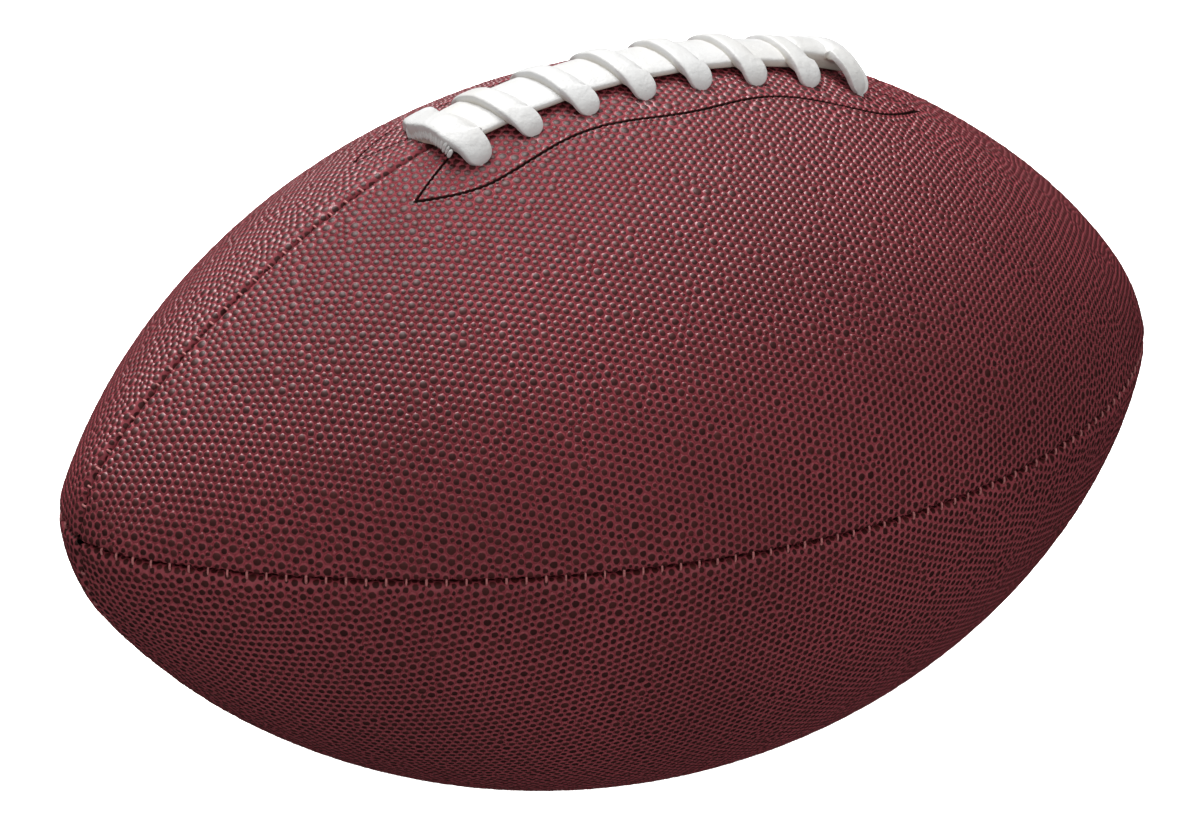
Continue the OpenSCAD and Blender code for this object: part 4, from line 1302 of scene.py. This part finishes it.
def crossbar_mesh(lacing, i, name):
    """One crossbar: rounded over the run, running out on one side, with legs narrowed to tongues."""
    lace = lacing.lace
    first, last = i == 0, i == lace.count - 1
    width, thick = (lace.end_bar_w, lace.end_bar_t) if first else (lace.bar_w, lace.bar_t)
    skew = lace.first_skew if first else lace.skew * (0.0 if last else 1 - (i - 1) / (lace.count - 2))
    reach = width / 2 + lace.spread * (LAST_SPREAD if last else 1.0)
    narrow = LAST_NARROW if last else FIRST_NARROW if first else 0
    x_unit, z_unit, c, s = rounded_ring()
    root = -1.0 if last else 1.0
    to_root = np.clip(c * root, 0, 1) ** ROOT_POWER
    edge = lace.run_w / 2 - (LAST_INSET if last else 0)
    rings, crevices = [], []
    for y, z, turn in lacing.bar_path(BAR_STEPS):
        from_edge = abs(y) - edge
        foot = fade(FOOT_FADE, abs(y) - lace.run_w / 2)
        sunk = np.clip(((END_TAPER_Z if first or last else TAPER_Z) - z) / TAPER_LEN, 0.0, TAPER_MOST)
        taper = math.sqrt(1 - sunk ** TAPER_POWER)
        full = thick
        if first:
            full *= 1 + SWELL_SHARE * math.exp(-(((y - SWELL_Y) / SWELL_REACH) ** 2))
        along = x_unit * width / 2 * taper * (1 - narrow * foot)
        height = z_unit * full * (SPARED + (1 - SPARED) * taper)
        if last:
            height = height - GROOVE * foot * np.cos(3 * math.pi * x_unit) * (s > 0)
        under = UNDER + UNDER_MORE * fade(UNDER_FADE, from_edge)
        run_out = np.where(s >= 0, full - (full + under) * smoothstep(ROOT_START, 1.0, to_root), -under)
        blend = np.where(c * root > 0, 1 - fade(SPREAD_FADE, from_edge), 0.0)
        along = along * (1 - blend) + root * to_root * reach * blend
        height = height * (1 - blend) + run_out * blend
        hang = (z - FIRST_HANG if first else HANG) * (1 - fade(HANG_FADE, from_edge))
        height = np.where(s < 0, height - hang, height)
        shift = FOOT_SHIFT * foot - skew * (y + STILL_Y)
        if last:
            z += LAST_RISE + (lace.end_lift - 2 * LAST_RISE) * fade(LIFT_FADE, z)
            shift = LAST_SHIFT * foot - SWAY * fade(SWAY_FADE, y)
        z -= 2 * lace.far_drop * fade(FIRST_BACK_FADE, y) if first else lace.far_drop * fade(BACK_FADE, y)
        ring = np.stack([along + shift, y + height * math.sin(turn), z + height * math.cos(turn)], axis=1)
        rings.append(lacing.on_ridge(lacing.place(i), ring))
        # Painted shade: more on the crossbar's lower side, none where it runs out on the run
        crevices.append(np.clip(BAR_CREVICE[0] - height / thick * BAR_CREVICE[1], 0, 1) * (1 - blend))
    return marked(swept(name, rings), crevices)


def run_mesh(lacing, name):
    """The flat run: a crowned strip under the crossbars, whose upper side lifts before the last one."""
    lace = lacing.lace
    x_unit, z_unit, _, _ = rounded_ring()
    upper = z_unit > 0.5
    lift_from = lacing.place(lace.count - 2)
    rings, crevices = [], []
    low, high = lacing.place(0) - lace.bar_w / 2, lacing.place(lace.count - 1) + RUN_PAST
    for x in np.linspace(low, high, RUN_STEPS):
        raised = fade(RUN_LIFT_FADE, x - lift_from)
        rise = float(smoothstep(0, lift_from, x))
        half = lace.run_w / 2 - RUN_NARROW * rise - LIFT_NARROW * raised
        wave = 1 + RUN_WAVE * math.sin(x * 2 * math.pi / lace.pitch)
        across = x_unit * half * np.where(upper, 1, 1 - LIFT_DRAWN * raised) * wave
        height = lace.clear + z_unit * (lace.run_t + lace.run_crown * (1 - x_unit ** 2))
        height = height + np.where(upper, RUN_RISE * rise + lace.end_lift * raised, 0.0)
        along = np.where(upper, -lace.end_lift * raised, 0.0)
        rings.append(lacing.on_ridge(x, np.stack([along, across, height], axis=1)))
        # Painted shade: more on the run's lower half and underside
        crevices.append(RUN_CREVICE[0] - z_unit * RUN_CREVICE[1])
    return marked(swept(name, rings), crevices)


def flute_tree():
    """Tree that sets upright flutes along a line on a crossbar's side."""
    tree, w, given, results = shape_tree("side_flutes", [
        ("Line", OBJECT, None), ("Flute", OBJECT, None), ("Count", "NodeSocketInt", 16)])
    line = w.made("GeometryNodeObjectInfo", {"Object": given["Line"]}, "Geometry", transform_space="RELATIVE")
    curve = w.made("GeometryNodeMeshToCurve", {"Mesh": line})
    spaced = w.made("GeometryNodeResampleCurve", {"Curve": curve, "Count": given["Count"]})
    points = strung(w, spaced, given["Flute"], given["Seed"], "YX", (-1.0, 0.0, 0.0), FLUTE_SCALES)
    both = w.add("GeometryNodeJoinGeometry")
    w.put(both.inputs[0], given["Geometry"])
    w.put(both.inputs[0], points)
    end_tree(w, both.outputs[0], given["Material"], results)
    return tree


def flute_shape(lace):
    """One flute: a small upright bead, rounded at both ends."""
    sides, rings = FLUTE_MESH
    turns = even_turns(sides)
    made = []
    for height in np.linspace(-1, 1, rings):
        girth = lace.flute_r * math.sqrt(max(FLUTE_END, 1 - abs(height) ** 3))
        level = np.full(sides, height * lace.flute_len / 2)
        made.append(np.stack([girth * np.cos(turns), girth * np.sin(turns), level], axis=1))
    return swept("flute", made)


# Stretch of the first crossbar with flutes and its steps, the height of the flutes' middle over its
# inner face, and how far they stand out, in radii
FLUTED, FLUTED_STEPS = (-9.5 * MM, 8.5 * MM), 121
FLUTE_MIDDLE = 0.4 * MM
FLUTE_OUT_SHARE = 0.35


def add_flutes(lacing, piece, material):
    """Adds the flutes to the first crossbar's outer side."""
    lace = lacing.lace
    side = -lace.end_bar_w / 2 - lace.flute_r * FLUTE_OUT_SHARE
    line = [(side, y + FLUTE_MIDDLE * math.sin(turn),
             z + FLUTE_MIDDLE * math.cos(turn) - 2 * lace.far_drop * fade(FIRST_BACK_FADE, y))
            for y, z, turn in lacing.bar_path(FLUTED_STEPS) if FLUTED[0] < y < FLUTED[1]]
    path = line_object("flute_line", [lacing.on_ridge(lacing.place(0), line)])
    flute = new_object("flute", flute_shape(lace))
    apply_tree(piece, flute_tree(), {"Line": path, "Flute": flute, "Count": lace.flutes,
                                     "Seed": FLUTE_SEED, "Material": material})
    bpy.data.objects.remove(path)
    bpy.data.objects.remove(flute)


class FOOTBALL_OT_lacing(bpy.types.Operator):
    """Makes the flat run and the crossbars of the lace."""
    bl_idname = "football.lacing"
    bl_label = "Lacing"

    def execute(self, context):
        lace = context.scene.football_lace
        lacing = Lacing(Ball(context.scene.football_ball), lace)
        white = material_of("moulded_lace")
        dress(new_object("lace_strip", run_mesh(lacing, "lace_strip")), white, "lace", "lace_run")
        for i in range(lace.count):
            name = f"lace_bar_{i + 1}"
            bar = new_object(name, crossbar_mesh(lacing, i, name))
            if i == 0:
                add_flutes(lacing, bar, white)
            dress(bar, white, "lace", f"lace_crossbar_{i + 1}")
        return {"FINISHED"}


# Size in metres and place of the three lights, the point that they face, and the floor's own light
KEY_LIGHT = 1.2, (-0.06, 0.82, 2.05)
BACK_LIGHT = 0.8, (0.4, 1.2, 1.35)
FILL_LIGHT = 3.0, (-0.7, -1.8, 1.3)
LIGHTS_AIM = 0, 0, 0.1
FLOOR_LIGHT_PLACE = 0.140, 0.200, 1.5
FLOOR_LIGHT_ANGLE, FLOOR_LIGHT_BLEND = 52, 0.3


def area_light(name, power, size, place):
    """A square light that faces the ball."""
    light = bpy.data.lights.new(name, "AREA")
    light.energy = power
    light.size = size
    lamp = new_object(name, light)
    lamp.location = place
    lamp.rotation_euler = (Vector(LIGHTS_AIM) - Vector(place)).to_track_quat("-Z", "Y").to_euler()
    return lamp


def floor_light(power, floor):
    """A spot light that falls on the floor alone, so that the ball throws no shadow in it."""
    light = bpy.data.lights.new("floor_light", "SPOT")
    light.energy = power
    light.spot_size, light.spot_blend = math.radians(FLOOR_LIGHT_ANGLE), FLOOR_LIGHT_BLEND
    light.shadow_soft_size = 0.1
    lamp = new_object("floor_light", light)
    lamp.location = FLOOR_LIGHT_PLACE
    lit = bpy.data.collections.new("floor_only")
    lit.objects.link(floor)
    lamp.light_linking.receiver_collection = lit
    lamp.light_linking.blocker_collection = lit


# Place of the camera about the middle of the ball, the way it looks and the way to its right
CAMERA_PLACE = -0.9212, -1.3888, 0.7157
CAMERA_AHEAD = 0.50614, 0.76724, -0.39391
CAMERA_RIGHT = 0.84245, -0.53762, 0.03532


def photo_camera(studio, lift):
    """The camera at the photograph's viewing angle."""
    camera_data = bpy.data.cameras.new("camera")
    camera_data.lens = studio.lens / MM
    camera_data.sensor_width = 36
    camera_data.clip_end = 50
    camera = new_object("camera", camera_data)
    ahead, right = Vector(CAMERA_AHEAD).normalized(), Vector(CAMERA_RIGHT)
    right = (right - ahead * right.dot(ahead)).normalized()
    turned = Matrix((right, right.cross(ahead), -ahead)).transposed().to_4x4()
    camera.matrix_world = Matrix.Translation(Vector(CAMERA_PLACE) + Vector((0, 0, lift))) @ turned
    return camera


class FOOTBALL_OT_stage(bpy.types.Operator):
    """Sets the floor, the lights, the surroundings and the camera."""
    bl_idname = "football.stage"
    bl_label = "Stage"

    def execute(self, context):
        scene = context.scene
        studio = scene.football_studio
        half = studio.floor_size / 2
        corners = [(-half, -half, 0), (half, -half, 0), (half, half, 0), (-half, half, 0)]
        floor = new_object("studio_floor", plain_mesh("studio_floor", corners, [range(4)], smooth=False))
        finish = Finish("studio_floor")
        for name, value in (("Base Color", rgba(studio.floor_colour)), ("Roughness", 0.9),
                            ("Specular IOR Level", 0.1)):
            finish.shader.inputs[name].default_value = value
        paint(floor, finish.material)
        floor.visible_diffuse = floor.visible_glossy = floor.visible_shadow = False
        scene.world = bpy.data.worlds.new("studio")
        scene.world.use_nodes = True
        background = scene.world.node_tree.nodes["Background"]
        background.inputs["Color"].default_value = (1, 1, 1, 1)
        background.inputs["Strength"].default_value = studio.world_level
        scene.world.cycles_visibility.glossy = False
        area_light("key_light", studio.key_power, *KEY_LIGHT)
        area_light("back_light", studio.back_power, *BACK_LIGHT)
        area_light("fill_light", studio.fill_power, *FILL_LIGHT).visible_glossy = False
        floor_light(studio.floor_power, floor)
        scene.camera = photo_camera(studio, Ball(scene.football_ball).lift)
        scene.view_settings.view_transform = "Standard"
        return {"FINISHED"}


OPERATORS = (
    FOOTBALL_OT_materials,
    FOOTBALL_OT_stage,
    FOOTBALL_OT_cover,
    FOOTBALL_OT_inserts,
    FOOTBALL_OT_stitches,
    FOOTBALL_OT_lacing,
)


class FOOTBALL_PT_panel(bpy.types.Panel):
    """Sidebar panel with the sizes and the pieces of the ball."""
    bl_idname = "FOOTBALL_PT_panel"
    bl_label = "Football"
    bl_space_type = "VIEW_3D"
    bl_region_type = "UI"
    bl_category = "Football"

    def draw(self, context):
        for made in OPERATORS:
            self.layout.operator(made.bl_idname)
        for name, group in SETTINGS.items():
            box = self.layout.box()
            for field in group.__annotations__:
                box.prop(getattr(context.scene, name), field)


CLASSES = (*SETTINGS.values(), *OPERATORS, FOOTBALL_PT_panel)


def register():
    """Registers the classes and hangs the settings on the scene."""
    for made in CLASSES:
        bpy.utils.register_class(made)
    for name, group in SETTINGS.items():
        setattr(bpy.types.Scene, name, PointerProperty(type=group))


def unregister():
    """Takes the settings and the classes away again."""
    for name in SETTINGS:
        delattr(bpy.types.Scene, name)
    for made in reversed(CLASSES):
        bpy.utils.unregister_class(made)


def main():
    """Makes every piece in order."""
    register()
    bpy.ops.football.materials()
    bpy.ops.football.stage()
    bpy.ops.football.cover()
    bpy.ops.football.inserts()
    bpy.ops.football.stitches()
    bpy.ops.football.lacing()


if __name__ == "__main__":
    main()
